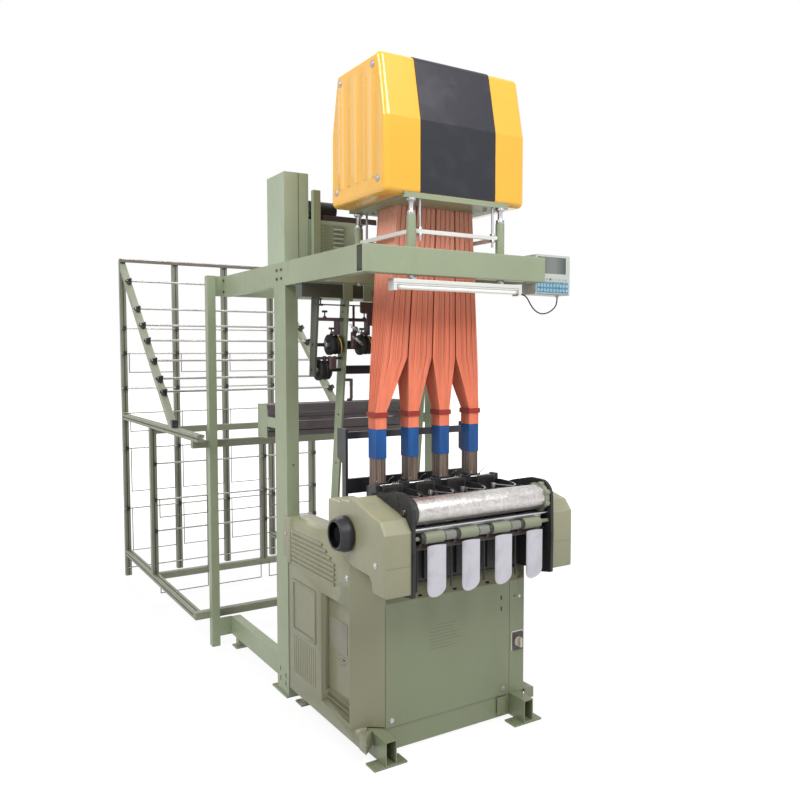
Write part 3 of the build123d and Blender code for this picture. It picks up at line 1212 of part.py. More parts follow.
clamp_lift = CREEL_BAR + 12
with BuildPart() as creel_inclines:
    for x in (creel_x[0], creel_x[-1]):
        side_profile(
            [
                (INCLINE_FOOT_Y, incline_foot_z),
                (INCLINE_FOOT_Y + 60, incline_foot_z),
                (INCLINE_HEAD_Y, INCLINE_HEAD_Z - 52),
                (INCLINE_HEAD_Y, INCLINE_HEAD_Z),
            ],
            x - half_bar,
            x + half_bar,
        )
        for z in CREEL_RODS:
            y, rod_z_at = incline_point(z, 14)
            with Locations(Location((x, y, rod_z_at), (0, 0, 0))):
                Box(26, 34, 34)
    for z in CREEL_RODS:
        y, rod_z_at = incline_point(z, 18)
        rod_x(creel_x[0] - 60, creel_x[-1] + 60, y, rod_z_at, ROD_R + 0.1, Mode.SUBTRACT)
save(creel_inclines, "creel_inclines")

# Bright rods: over the inclines, and along both rows of posts
wire_y = CREEL_REAR - 5
middle_wire_y = CREEL_MIDDLE - 5
REAR_ROD_HEIGHTS = (1794, 1615, 1364, CREEL_RAIL + CREEL_BAR + 6, 930, 494, 60)
MIDDLE_ROD_HEIGHTS = (908, 674, 472)
with BuildPart() as creel_rods:
    for z in CREEL_RODS:
        y, rod_z_at = incline_point(z, 18)
        rod_x(creel_x[0] - half_bar, creel_x[-1] + half_bar, y, rod_z_at, ROD_R)
    for z in REAR_ROD_HEIGHTS:
        rod_x(creel_x[0] - half_bar, creel_x[-1] + half_bar, wire_y, z, 5)
    for z in MIDDLE_ROD_HEIGHTS:
        rod_x(creel_x[0] + half_bar, creel_x[-1] - half_bar, middle_wire_y, z, 5)
    rod_x(creel_x[0] - half_bar, creel_x[-1] + half_bar, CREEL_REAR + half_bar, CREEL_TOP + 7, 7)
save(creel_rods, "creel_rods")


def wire_loop(x0, x1, y, z_top, z_bottom):
    """A wire bent down, across and up again."""
    with BuildLine() as bend:
        Polyline((x0, y, z_top), (x0, y, z_bottom), (x1, y, z_bottom), (x1, y, z_top))
    with BuildSketch(Plane(origin=(x0, y, z_top), z_dir=(0, 0, -1))) as section:
        RegularPolygon(WIRE_R, 6)
    sweep(section.sketch, path=bend.line, transition=Transition.RIGHT)


with BuildPart() as creel_loops:
    for x0, x1 in zip(creel_x[:-1], creel_x[1:]):
        for z_top, z_bottom in ((1615, 1479), (CREEL_RAIL + CREEL_BAR + 6, 1053), (930, 618), (494, 186)):
            wire_loop(x0 + 30, x1 - 30, wire_y - 5 - WIRE_R, z_top, z_bottom)
        for z_top, z_bottom in ((674, 560), (CREEL_LOW + 10, 62)):
            wire_loop(x0 + 30, x1 - 30, middle_wire_y - 5 - WIRE_R if z_top > 300 else CREEL_MIDDLE - WIRE_R, z_top, z_bottom)
save(creel_loops, "creel_loops")

# Domed screws of the covers, the panels and the head
with BuildPart() as cover_screws:
    for side in (-1, 1):
        housing_x = CENTRE + side * HOUSING_HALF
        cover_x = CENTRE + side * COVER_HALF
        head_x_end = CENTRE + side * HEAD_HALF
        for x, y, z, radius in (
            (housing_x, -94, 824, 9),
            (cover_x, 158, 714, 9),
            (head_x_end, 118 - 36, 2297, 11),
            (head_x_end, 428, 2297, 11),
            (head_x_end, 118, 2742, 11),
            (head_x_end, 392, 2742, 11),
        ):
            turned_x([(x, 0), (x, radius), (x + side * 6, radius * 0.6), (x + side * 6, 0)], y, z)
    for x in (BASE_LEFT + 30, PANEL_SPLIT - 30):
        rod_y(x, BASE_FRONT - 4, BASE_FRONT, FOOT_TOP + 26, 8)
save(cover_screws, "cover_screws")
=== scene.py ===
"""Jacquard power loom for narrow fabrics: finishes, harness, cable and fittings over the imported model."""

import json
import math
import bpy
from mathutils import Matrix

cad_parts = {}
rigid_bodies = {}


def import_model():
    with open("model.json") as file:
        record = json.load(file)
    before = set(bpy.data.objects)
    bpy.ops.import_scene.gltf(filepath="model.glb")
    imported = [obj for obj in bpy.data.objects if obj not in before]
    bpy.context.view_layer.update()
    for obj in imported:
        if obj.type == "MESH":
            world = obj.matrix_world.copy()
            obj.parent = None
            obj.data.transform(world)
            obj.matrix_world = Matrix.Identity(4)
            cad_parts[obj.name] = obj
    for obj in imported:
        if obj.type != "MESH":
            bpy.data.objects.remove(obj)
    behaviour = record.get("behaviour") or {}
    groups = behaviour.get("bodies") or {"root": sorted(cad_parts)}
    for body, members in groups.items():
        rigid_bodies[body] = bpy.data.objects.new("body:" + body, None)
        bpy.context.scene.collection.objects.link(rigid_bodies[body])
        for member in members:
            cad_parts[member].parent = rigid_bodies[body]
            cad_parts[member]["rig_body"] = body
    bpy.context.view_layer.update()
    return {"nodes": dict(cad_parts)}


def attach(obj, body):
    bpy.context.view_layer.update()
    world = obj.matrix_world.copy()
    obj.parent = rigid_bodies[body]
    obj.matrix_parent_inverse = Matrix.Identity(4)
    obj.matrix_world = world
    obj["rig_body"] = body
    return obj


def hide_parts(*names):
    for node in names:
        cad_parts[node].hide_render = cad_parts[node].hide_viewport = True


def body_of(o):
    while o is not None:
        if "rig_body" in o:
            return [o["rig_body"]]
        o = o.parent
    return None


bl_info = {
    "name": "Jacquard Power Loom",
    "version": (1, 0, 0),
    "blender": (4, 5, 0),
    "location": "View3D > Sidebar > Loom",
    "description": "Dresses the loom with its paints, harness, cable and fittings",
    "category": "Add Mesh",
}

import bpy
from bpy.props import FloatProperty, FloatVectorProperty, IntProperty, PointerProperty
from mathutils import Vector

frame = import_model()
NODES = frame["nodes"]

# Driving dimensions, in millimetres; each axis along X is given by its Y and Z

MM = 0.001
CENTRE = 20
HEAD_PITCH = 162
HEAD_X = tuple(CENTRE + HEAD_PITCH * (i - 1.5) for i in range(4))
HARNESS_Y = 271
DRUM = (-110, 1013)
DELIVERY = (-150, 917)
MAIN_SHAFT = (128, 904)
POST_PITCH = 375
CREEL_POST_X = tuple(-589.5 + POST_PITCH * i for i in range(4))
INCLINE_FOOT = (2010, 1180)
INCLINE_RUN = 1230
INCLINE_RISE = 1070
INCLINE_COS = 0.7545
INCLINE_SIN = 0.6563
MIDDLE = CENTRE * MM


# Shader building


class Value:
    """One number in a shader; the usual operators add its Math nodes."""

    def __init__(self, tree, socket):
        self.tree = tree
        self.socket = socket

    def calculate(self, kind, *terms):
        node = self.tree.nodes.new("ShaderNodeMath")
        node.operation = kind
        for slot, term in zip(node.inputs, terms):
            if isinstance(term, Value):
                self.tree.links.new(term.socket, slot)
            else:
                slot.default_value = term
        return Value(self.tree, node.outputs[0])

    def __add__(self, other):
        return self.calculate("ADD", self, other)

    def __radd__(self, other):
        return self.calculate("ADD", other, self)

    def __sub__(self, other):
        return self.calculate("SUBTRACT", self, other)

    def __rsub__(self, other):
        return self.calculate("SUBTRACT", other, self)

    def __mul__(self, other):
        return self.calculate("MULTIPLY", self, other)

    def __rmul__(self, other):
        return self.calculate("MULTIPLY", other, self)

    def __truediv__(self, other):
        return self.calculate("DIVIDE", self, other)

    def __gt__(self, other):
        return self.calculate("GREATER_THAN", self, other)

    def __lt__(self, other):
        return self.calculate("LESS_THAN", self, other)

    def wave(self):
        return self.calculate("SINE", self)

    def fraction(self):
        return self.calculate("FRACT", self)

    def absolute(self):
        return self.calculate("ABSOLUTE", self)

    def larger(self, other):
        return self.calculate("MAXIMUM", self, other)


class Finish:
    """A material in the making: one Principled shader and the nodes that feed it."""

    def __init__(self, name, colour, roughness, metallic=0.0, coat=0.0):
        self.material = bpy.data.materials.new(name)
        self.material.use_nodes = True
        self.tree = self.material.node_tree
        self.shader = self.tree.nodes["Principled BSDF"]
        self.shader.inputs["Base Color"].default_value = colour
        self.shader.inputs["Roughness"].default_value = roughness
        self.shader.inputs["Metallic"].default_value = metallic
        self.shader.inputs["Coat Weight"].default_value = coat
        self.material.diffuse_color = colour

    def add(self, kind, settings=None, sockets=None, output=0):
        """Adds a node with its settings first and then its sockets, and gives one of its outputs."""
        node = self.tree.nodes.new("ShaderNode" + kind)
        for name, value in (settings or {}).items():
            setattr(node, name, value)
        for name, value in (sockets or {}).items():
            slot = node.inputs[name]
            if isinstance(value, Value):
                self.tree.links.new(value.socket, slot)
            else:
                slot.default_value = value
        return Value(self.tree, node.outputs[output])

    def place(self, stretch=(1, 1, 1)):
        """Object coordinates in metres, stretched."""
        coords = self.add("TexCoord", output="Object")
        return self.add("Mapping", sockets={"Vector": coords, "Scale": stretch})

    def axis(self, letter):
        coords = self.add("TexCoord", output="Object")
        return self.add("SeparateXYZ", sockets={"Vector": coords}, output=letter)

    def noise(self, scale, detail=3.0, stretch=(1, 1, 1)):
        sockets = {"Vector": self.place(stretch), "Scale": scale, "Detail": detail, "Roughness": 0.55}
        return self.add("TexNoise", sockets=sockets)

    def ramp(self, value, low, high):
        """Value spread from 0 at low to 1 at high."""
        return self.add("MapRange", sockets={"Value": value, "From Min": low, "From Max": high})

    def mix(self, mask, first, second):
        """The first colour where the mask is 0 and the second where it is 1."""
        return self.add("Mix", {"data_type": "RGBA"}, {0: mask, 6: first, 7: second}, output=2)

    def band(self, letter, low, high):
        """1 where an object coordinate in metres lies between two values."""
        along = self.axis(letter)
        return (along > low) * (along < high)

    def near_axis(self, y, z, radius):
        """1 within a radius of a line along X, in metres."""
        across = self.axis("Y") - y
        up = self.axis("Z") - z
        return across * across + up * up < radius * radius

    def feed(self, name, value):
        self.tree.links.new(value.socket, self.shader.inputs[name])

    def bump(self, height, strength, distance):
        normal = self.add("Bump", sockets={"Height": height, "Strength": strength, "Distance": distance})
        self.feed("Normal", normal)


def linear(red, green, blue):
    """A colour given as it shows on screen, 0 to 255."""
    def curve(c):
        c /= 255
        return c / 12.92 if c <= 0.04045 else ((c + 0.055) / 1.055) ** 2.4
    return (curve(red), curve(green), curve(blue), 1.0)


def tinted(colour, factor):
    return tuple(min(1.0, c * factor) for c in colour[:3]) + (1.0,)


def painted(name, colour, roughness=0.42, coat=0.15, grime=0.25, peel=0.05, low=0.0):
    """Sprayed enamel with a slight orange peel, handling grime, a few chips and, with low, painted shade that
    darkens it towards the floor.
    """
    finish = Finish(name, colour, roughness, coat=coat)
    cloud = finish.ramp(finish.noise(2.4, 4), 0.35, 0.68)
    paint = finish.mix(cloud, tinted(colour, 0.93), tinted(colour, 1.05))
    # painted shade: with low, the paint turns darker from 1 m down to half a metre
    if low:
        paint = finish.mix(finish.ramp(finish.axis("Z"), 1.0, 0.5) * low, paint, tinted(colour, 0.55))
    dirt = finish.ramp(finish.noise(9, 6, (1, 1, 0.35)), 0.56, 0.78)
    paint = finish.mix(dirt * grime, paint, tinted(colour, 0.55))
    chips = finish.ramp(finish.noise(70, 2), 0.735, 0.75)
    paint = finish.mix(chips * 0.45, paint, linear(104, 100, 88))
    finish.feed("Base Color", paint)
    rough = finish.noise(26, 3)
    finish.feed("Roughness", rough * 0.22 + (roughness - 0.11) + dirt * 0.1)
    fine = finish.noise(420, 2)
    finish.bump(fine, peel, 0.0006)
    return finish.material


def knurled_drum(name):
    """Bright drum skin with the fine scales of its knurling, rubbed patches and painted shade on its
    underside.
    """
    finish = Finish(name, linear(190, 188, 186), 0.34, metallic=0.9)
    scales = finish.add("TexVoronoi", {"feature": "F1"}, {"Vector": finish.place((0.7, 1, 1)), "Scale": 140})
    fine = finish.noise(90, 5)
    patch = finish.ramp(finish.noise(7, 3, (1.6, 1, 1)), 0.3, 0.7)
    tone = finish.ramp(fine, 0.3, 0.7) * 0.6 + patch * 0.4
    skin = finish.mix(tone, linear(172, 168, 164), linear(230, 228, 226))
    # painted shade: the skin turns darker and browner towards the drum's underside
    under = finish.ramp(finish.axis("Z"), 1.01, 0.972) * 0.5
    finish.feed("Base Color", finish.mix(under, skin, linear(138, 126, 114)))
    finish.feed("Roughness", fine * 0.3 + 0.2)
    finish.bump(scales + fine, 0.4, 0.001)
    return finish.material


def bare_metal(name, colour, roughness, along=(1, 1, 1), brushed=0.3, metallic=1.0):
    """Machined or drawn metal with marks along one way and faint tarnish."""
    finish = Finish(name, colour, roughness, metallic=metallic)
    marks = finish.noise(140, 3, along)
    tarnish = finish.ramp(finish.noise(12, 5), 0.45, 0.75)
    finish.feed("Base Color", finish.mix(tarnish * 0.5, colour, tinted(colour, 0.62)))
    finish.feed("Roughness", marks * 0.2 + (roughness - 0.1) + tarnish * 0.12)
    finish.bump(marks, brushed, 0.0004)
    return finish.material


def moulded(name, colour, roughness, grain=260, depth=0.12, coat=0.0, dust_tone=None):
    """Moulded plastic or rubber with a fine grain and dust in it."""
    finish = Finish(name, colour, roughness, coat=coat)
    dust = finish.ramp(finish.noise(11, 5), 0.5, 0.8)
    finish.feed("Base Color", finish.mix(dust * 0.35, colour, dust_tone or linear(120, 116, 108)))
    grit = finish.noise(grain, 2)
    finish.feed("Roughness", dust * 0.15 + grit * 0.1 + (roughness - 0.05))
    finish.bump(grit, depth, 0.0005)
    return finish.material


FLUTE_PITCH = 0.115
FLUTE_START = 12.36


def cover_flutes(finish):
    """The waves of the head cover's flutes and the mask of its two end faces, where they show."""
    height = finish.axis("Z")
    ends = finish.ramp((finish.axis("X") - MIDDLE).absolute(), 0.335, 0.349)
    ends = ends * finish.ramp(height, 2.27, 2.31) * finish.ramp(height, 2.76, 2.72)
    waves = (finish.axis("Y") * (2 * math.pi / FLUTE_PITCH) - FLUTE_START).wave()
    return waves * ends, ends


def gloss_cover(name, colour, dust_colour, flute_depth):
    """Glossy gel coat, a little wavy and dusty, with shallow flutes down the two end faces, painted shade in
    their grooves and painted highlights on their ridges.
    """
    finish = Finish(name, colour, 0.2, coat=0.6)
    wave = finish.noise(3.2, 2)
    tone = finish.ramp(finish.noise(1.8, 3), 0.3, 0.7)
    dust = finish.ramp(finish.noise(34, 5), 0.62, 0.8)
    skin = finish.mix(tone, tinted(colour, 0.95), tinted(colour, 1.04))
    finish.feed("Roughness", tone * 0.08 + dust * 0.2 + 0.17)
    flutes, ends = cover_flutes(finish)
    # painted shade: the end faces a little darker, and darker still in the flutes' grooves
    skin = finish.mix(flutes * -0.35 * ends + ends * 0.1, skin, tinted(colour, 0.8))
    # painted highlight: a pale yellow on the flutes' ridges
    ridge_highlights = finish.ramp(flutes, 0.7, 1.0)
    skin = finish.mix(ridge_highlights * 0.45, skin, linear(255, 214, 138))
    finish.feed("Base Color", finish.mix(dust * 0.06, skin, dust_colour))
    finish.bump(wave * 0.4 + flutes * flute_depth, 0.6, 0.01)
    return finish.material


def twisted_cords(name, colour):
    """Polyester cords, each a shade apart, with the fine ribs of their twist and painted light that makes
    them paler towards the head.
    """
    finish = Finish(name, colour, 0.62)
    across = finish.noise(210, 1, (1, 1, 0.004))
    groups = finish.ramp(finish.noise(26, 2, (1, 1, 0.02)), 0.35, 0.65)
    body = finish.mix(groups, tinted(colour, 0.9), tinted(colour, 1.06))
    body = finish.mix(finish.ramp(across, 0.4, 0.7) * 0.5, body, tinted(colour, 1.2))
    # painted light: the cords turn paler from 1.75 m up to 2.15 m
    pale = finish.ramp(finish.axis("Z"), 1.75, 2.15) * 0.75
    finish.feed("Base Color", finish.mix(pale, body, linear(255, 198, 176)))
    finish.feed("Roughness", across * 0.2 + 0.5)
    finish.bump(across, 0.3, 0.002)
    return finish.material


TAPE_FOOT = 1.1718
COLLAR_FOOT = 1.31


def sleeve_tape(name):
    """Blue tape over the bundles with the healds' steel and brown lines below it and a red collar over it."""
    blue = linear(0, 82, 152)
    finish = Finish(name, blue, 0.45)
    height = finish.axis("Z")
    lines = finish.noise(300, 2, (1, 1, 0.01))
    wraps = finish.ramp(finish.noise(40, 3, (1, 1, 0.2)), 0.4, 0.7)
    tape = finish.mix(wraps, tinted(blue, 0.8), tinted(blue, 1.2))
    healds = finish.mix(finish.ramp(lines, 0.42, 0.62), linear(78, 64, 56), linear(150, 130, 116))
    upper = finish.mix(height > COLLAR_FOOT, tape, linear(150, 42, 30))
    finish.feed("Base Color", finish.mix(height > TAPE_FOOT, healds, upper))
    finish.feed("Roughness", lines * 0.25 + 0.35)
    finish.bump(lines, 0.6, 0.0015)
    return finish.material


def two_paints_and_shade(name, first, second, mask_of, second_metal=0.0, roughness=0.42):
    """Enamel with a part of the piece in a second paint, in bare metal, or in painted shade, as its mask
    gives.
    """
    finish = Finish(name, first, roughness)
    mask = mask_of(finish)
    cloud = finish.ramp(finish.noise(3, 4), 0.35, 0.68)
    one = finish.mix(cloud, tinted(first, 0.92), tinted(first, 1.06))
    two = finish.mix(cloud, tinted(second, 0.85), tinted(second, 1.1))
    dirt = finish.ramp(finish.noise(12, 5, (1, 1, 0.4)), 0.55, 0.8)
    finish.feed("Base Color", finish.mix(dirt * 0.2, finish.mix(mask, one, two), tinted(first, 0.5)))
    finish.feed("Metallic", mask * second_metal)
    worn = finish.noise(30, 3) * 0.2 + (roughness - 0.1) + dirt * 0.1
    finish.feed("Roughness", worn - mask * second_metal * 0.12)
    finish.bump(finish.noise(380, 2), 0.06, 0.0005)
    return finish.material


def deep_shade(name, colour):
    """Matt near-black of a hollow that no light reaches."""
    finish = Finish(name, colour, 0.9)
    finish.shader.inputs["Specular IOR Level"].default_value = 0.1
    dust = finish.noise(40, 3)
    finish.feed("Base Color", finish.mix(dust * 0.5, colour, tinted(colour, 1.6)))
    finish.feed("Roughness", dust * 0.1 + 0.85)
    return finish.material


LAMP_MIDDLE = 0.025


def lamp_glow(name):
    """Frosted tubes, warm grey at their ends and white between."""
    finish = Finish(name, linear(238, 238, 232), 0.35)
    from_middle = (finish.axis("X") - LAMP_MIDDLE).absolute()
    ends = finish.ramp(from_middle, 0.285, 0.305)
    finish.feed("Base Color", finish.mix(ends, linear(242, 242, 236), linear(150, 150, 148)))
    finish.feed("Emission Color", finish.mix(ends, linear(150, 150, 142), linear(0, 0, 0)))
    finish.shader.inputs["Emission Strength"].default_value = 0.35
    return finish.material


SCREEN_MIDDLE = 0.585
SCREEN_FOOT = 1.95
KEYPAD_MIDDLE = 1.914


def display_face(name):
    """Keypad film in two blues under a grey screen that darkens to its edge."""
    finish = Finish(name, linear(70, 132, 170), 0.3, coat=0.3)
    height = finish.axis("Z")
    width = finish.axis("X")
    shade = finish.ramp((width - SCREEN_MIDDLE).absolute(), 0.02, 0.085)
    screen = finish.mix(shade, linear(122, 128, 124), linear(66, 70, 70))
    film = finish.mix(height > KEYPAD_MIDDLE, linear(96, 150, 176), linear(120, 160, 172))
    tint = finish.mix(finish.ramp(finish.noise(60, 2), 0.4, 0.6), film, linear(70, 126, 162))
    finish.feed("Base Color", finish.mix(height > SCREEN_FOOT, tint, screen))
    finish.feed("Roughness", finish.noise(90, 2) * 0.1 + 0.24)
    return finish.material


# Where a second finish, or painted shade, shows on a piece, in metres


def post_slot_shade(finish):
    """Painted shade: a dark stripe down the middle of each creel post, where its slot is."""
    place = (finish.axis("X") - CREEL_POST_X[0] * MM) / (POST_PITCH * MM) + 0.5
    half_width = 0.0115
    return (place.fraction() - 0.5).absolute() < half_width


def holder_tops(finish):
    """The stripper rod over the roller holders."""
    under_rod = 0.9465
    return finish.axis("Z") > under_rod


def guide_rods(finish):
    """The threaded rods of the guide frame, above and below its white bars."""
    bars_foot, bars_top = 2.0903, 2.1077
    return 1 - finish.band("Z", bars_foot, bars_top)


def beam_underside_shade(finish):
    """Painted shade: the hanger beam and the bearing plate under the gantry's cross beams, in a darker copy
    of the gantry green.
    """
    beams_foot = 1.9248
    return finish.axis("Z") < beams_foot


def slat_ends(finish):
    """The two end plates of the warp guide."""
    slats_half = 0.4003
    return (finish.axis("X") - MIDDLE).absolute() > slats_half


def incline_clamps(finish):
    """What stands out over the upper face of the creel's inclines."""
    y, z = INCLINE_FOOT
    lift = (finish.axis("Z") - z * MM) * INCLINE_COS - (finish.axis("Y") - y * MM) * INCLINE_SIN
    return lift > 0.0008


def roof_fan(finish):
    """The fan on top of the louvred box."""
    box_top, tall_box_right = 2.2345, -0.31
    return (finish.axis("Z") > box_top) * (finish.axis("X") > tall_box_right)


def wheel_hollow_shade(finish):
    """Painted shade: the dark hollow middle of the handwheel."""
    y, z = MAIN_SHAFT
    return finish.near_axis(y * MM, z * MM, radius=0.0585)


GREEN = linear(157, 156, 127)
FRAME_GREEN = linear(147, 156, 123)
GANTRY_GREEN = linear(151, 161, 132)
STEEL = linear(196, 196, 198)
MATERIALS = {}


def make_materials():
    """Makes every finish of the loom once."""
    MATERIALS.update(
        # body and frame: low gives them painted shade towards the floor
        body=painted("sage enamel", GREEN, 0.4, 0.15, low=0.7),
        frame=painted("machine enamel", FRAME_GREEN, 0.4, 0.15, low=0.6),
        gantry=painted("gantry enamel", GANTRY_GREEN, 0.46, 0.1, grime=0.35),
        creel=painted("creel enamel", linear(138, 142, 121), 0.5, 0.05, grime=0.4),
        # posts: the second colour is painted shade in the posts' slots
        posts=two_paints_and_shade("creel post enamel", linear(130, 131, 113), linear(66, 64, 56), post_slot_shade),
        holders=two_paints_and_shade("holder enamel", linear(44, 40, 42), STEEL, holder_tops, 1.0),
        guide=two_paints_and_shade("white bars", linear(226, 226, 220), STEEL, guide_rods, 1.0),
        # beams: the second colour is painted shade under the cross beams
        beams=two_paints_and_shade("beam enamel", GANTRY_GREEN, linear(78, 82, 71), beam_underside_shade),
        slats=two_paints_and_shade("slat enamel", linear(100, 92, 96), GANTRY_GREEN, slat_ends),
        incline=two_paints_and_shade("incline enamel", linear(150, 156, 134), linear(30, 30, 32), incline_clamps),
        # roof: painted light, a lighter copy of the gantry green for the box in the head's shade; the fan is
        # dark
        roof=two_paints_and_shade("roof enamel", linear(166, 178, 152), linear(34, 34, 40), roof_fan),
        black=painted("black enamel", linear(38, 38, 42), 0.38, 0.2, grime=0.2),
        casting=painted("black casting", linear(32, 31, 33), 0.55, 0.0, grime=0.5, peel=0.35),
        white=painted("white enamel", linear(226, 227, 222), 0.4, 0.1, grime=0.2),
        pale=painted("pale case enamel", linear(196, 204, 196), 0.45, 0.1, grime=0.2),
        yellow=gloss_cover("yellow gel coat", linear(249, 184, 46), linear(220, 190, 120), 0.5),
        panel=moulded("black gel coat", linear(26, 26, 39), 0.3, 60, 0.04, dust_tone=linear(50, 50, 64)),
        drum=knurled_drum("emery drum"),
        steel=bare_metal("machined steel", linear(186, 186, 188), 0.32),
        bright=bare_metal("plated steel", linear(170, 167, 162), 0.26, (0.1, 1, 1), 0.15),
        wire=bare_metal("drawn wire", linear(200, 198, 194), 0.28, brushed=0.1),
        loops=bare_metal("dull wire", linear(112, 106, 100), 0.4, brushed=0.1, metallic=0.8),
        sheet=bare_metal("aluminium sheet", linear(190, 188, 195), 0.34, (1, 1, 0.05), 0.3, 0.9),
        dark=bare_metal("oiled steel", linear(92, 90, 88), 0.42),
        plastic=moulded("black plastic", linear(34, 33, 38), 0.42, coat=0.1),
        rubber=moulded("black rubber", linear(28, 28, 29), 0.7),
        roller=moulded("grey green roller", linear(136, 142, 118), 0.45),
        red=moulded("red plastic", linear(196, 40, 28), 0.3, coat=0.3),
        knob=moulded("ivory plastic", linear(198, 188, 172), 0.35, coat=0.2),
        beige=moulded("switch plate", linear(72, 64, 66), 0.45),
        cords=twisted_cords("orange cords", linear(247, 148, 116)),
        core=twisted_cords("cords in shade", linear(206, 112, 84)),
        sleeve=sleeve_tape("blue tape and healds"),
        lamp=lamp_glow("frosted tube"),
        face=display_face("screen and keypad"),
        strap=moulded("yellow strap", linear(196, 160, 66), 0.6),
        brown=painted("brown black enamel", linear(84, 70, 70), 0.5, 0.0, grime=0.4),
        shade=moulded("open end shade", linear(62, 66, 58), 0.8),
        hollow=deep_shade("hollow shade", linear(16, 15, 19)),
        keys=moulded("key pads", linear(150, 190, 208), 0.35, coat=0.2),
        clear=moulded("clear sleeves", linear(126, 129, 118), 0.2, coat=0.5),
        print=moulded("faded print", linear(112, 113, 94), 0.5),
        plate=moulded("grey plate", linear(140, 136, 122), 0.5),
        boards=bare_metal("worn boards", linear(118, 110, 114), 0.5, (0.05, 1, 3), 0.3, 0.2),
        # wheel: the second colour is painted shade in the handwheel's hollow
        wheel=two_paints_and_shade("wheel plastic", linear(36, 34, 40), linear(12, 12, 15), wheel_hollow_shade, 0.0, 0.4),
    )


NODE_FINISH = {
    "frame": "base_frame base_panels",
    "body": "bed_plate lower_cover_left lower_cover_right upper_housing_left upper_housing_right",
    "gantry": "gantry_columns side_beams front_beam hanger_bars floor_rails head_base_plate jack_posts",
    "roof": "roof_boxes",
    "beams": "cross_beams",
    "slats": "warp_guide",
    "incline": "creel_inclines",
    "guide": "guide_frame",
    "holders": "roller_holders",
    "posts": "creel_posts",
    "creel": "creel_side_rails creel_cross_rails drum_handle",
    "black": "heald_stand",
    "casting": "side_plates breast_casting needle_bed drive_motor hook_modules",
    "white": "lamp_housing",
    "pale": "control_panel",
    "yellow": "jacquard_cover",
    "panel": "cover_panel",
    "drum": "takeup_drum",
    "steel": "main_shaft motor_pulley jack_screws cover_screws "
    "weft_needle_1 weft_needle_2 weft_needle_3 weft_needle_4",
    "dark": "reed_sley knitting_bar",
    "bright": "creel_rods",
    "loops": "creel_loops",
    "sheet": "fabric_chutes",
    "wheel": "handwheel",
    "rubber": "drive_belt feed_shaft_1 feed_shaft_2 panel_cable",
    "roller": "delivery_rollers",
    "knob": "isolator_knob",
    "beige": "isolator_plate",
    "cords": "harness_cords",
    "sleeve": "harness_sleeves",
    "lamp": "lamp_tubes",
    "face": "panel_face",
}

SMOOTH_ANGLES = {
    20: "cover_screws",
    28: "handwheel",
    32: "jacquard_cover cover_panel upper_housing_left upper_housing_right lower_cover_left "
    "lower_cover_right takeup_drum delivery_rollers fabric_chutes drum_handle roller_holders "
    "lamp_housing side_plates main_shaft feed_shaft_1 feed_shaft_2 control_panel roof_boxes "
    "guide_frame warp_guide",
    40: "creel_rods jack_posts jack_screws lamp_tubes",
}
SMOOTH = {name: angle for angle, names in SMOOTH_ANGLES.items() for name in names.split()}


# Modelling helpers


def free():
    """Deselects everything, in object mode."""
    if bpy.context.object and bpy.context.object.mode != "OBJECT":
        bpy.ops.object.mode_set(mode="OBJECT")
    bpy.ops.object.select_all(action="DESELECT")


def hold(piece):
    """Selects one piece alone and makes it the active one."""
    free()
    piece.select_set(True)
    bpy.context.view_layer.objects.active = piece


def settle(piece):
    """Moves a piece's place into its mesh."""
    hold(piece)
    bpy.ops.object.transform_apply(location=True, rotation=True, scale=True)


def bevelled(piece, width, segments=2):
    """Rounds a piece's edges."""
    hold(piece)
    mod = piece.modifiers.new("edges", "BEVEL")
    mod.width = width * MM
    mod.segments = segments
    mod.limit_method = "ANGLE"
    mod.angle_limit = math.radians(40)
    bpy.ops.object.modifier_apply(modifier=mod.name)
    return piece


def bar(across, deep, high, edge=1.0):
    """A block with broken edges, given by its stretch along X, along Y and along Z."""
    free()
    stretches = (across, deep, high)
    middle = Vector([low + top for low, top in stretches]) * MM / 2
    bpy.ops.mesh.primitive_cube_add(size=1, location=middle)
    piece = bpy.context.object
    piece.scale = Vector([top - low for low, top in stretches]) * MM
    settle(piece)
    return bevelled(piece, edge, 1) if edge else piece


def bars(*blocks):
    """A list of blocks, each given as for bar."""
    return [bar(*block) for block in blocks]


TURNS = {"X": (0, math.pi / 2, 0), "Y": (math.pi / 2, 0, 0), "Z": (0, 0, 0)}


def round_bar(x, y, z, radius, length, axis="X", sides=24, edge=0.8):
    """A round bar about its middle, with broken end edges."""
    free()
    bpy.ops.mesh.primitive_cylinder_add(
        vertices=sides,
        radius=radius * MM,
        depth=length * MM,
        location=(x * MM, y * MM, z * MM),
        rotation=TURNS[axis],
    )
    piece = bpy.context.object
    settle(piece)
    return bevelled(piece, edge, 1) if edge else piece


def set_line(curve, points, smooth):
    """Draws one line through points in the curve, straight from each to the next or smooth."""
    line = curve.splines.new("NURBS" if smooth else "POLY")
    line.points.add(len(points) - 1)
    for spot, point in zip(line.points, points):
        spot.co = (point[0] * MM, point[1] * MM, point[2] * MM, 1)
    if smooth:
        line.order_u = 3
        line.use_endpoint_u = True
    curve.use_fill_caps = True


def wire(points, radius, smooth=False, resolution=3):
    """A round wire through points."""
    free()
    curve = bpy.data.curves.new("wire", "CURVE")
    curve.dimensions = "3D"
    set_line(curve, points, smooth)
    curve.bevel_depth = radius * MM
    curve.bevel_resolution = resolution
    piece = bpy.data.objects.new("wire", curve)
    bpy.context.scene.collection.objects.link(piece)
    hold(piece)
    bpy.ops.object.convert(target="MESH")
    return bpy.context.object


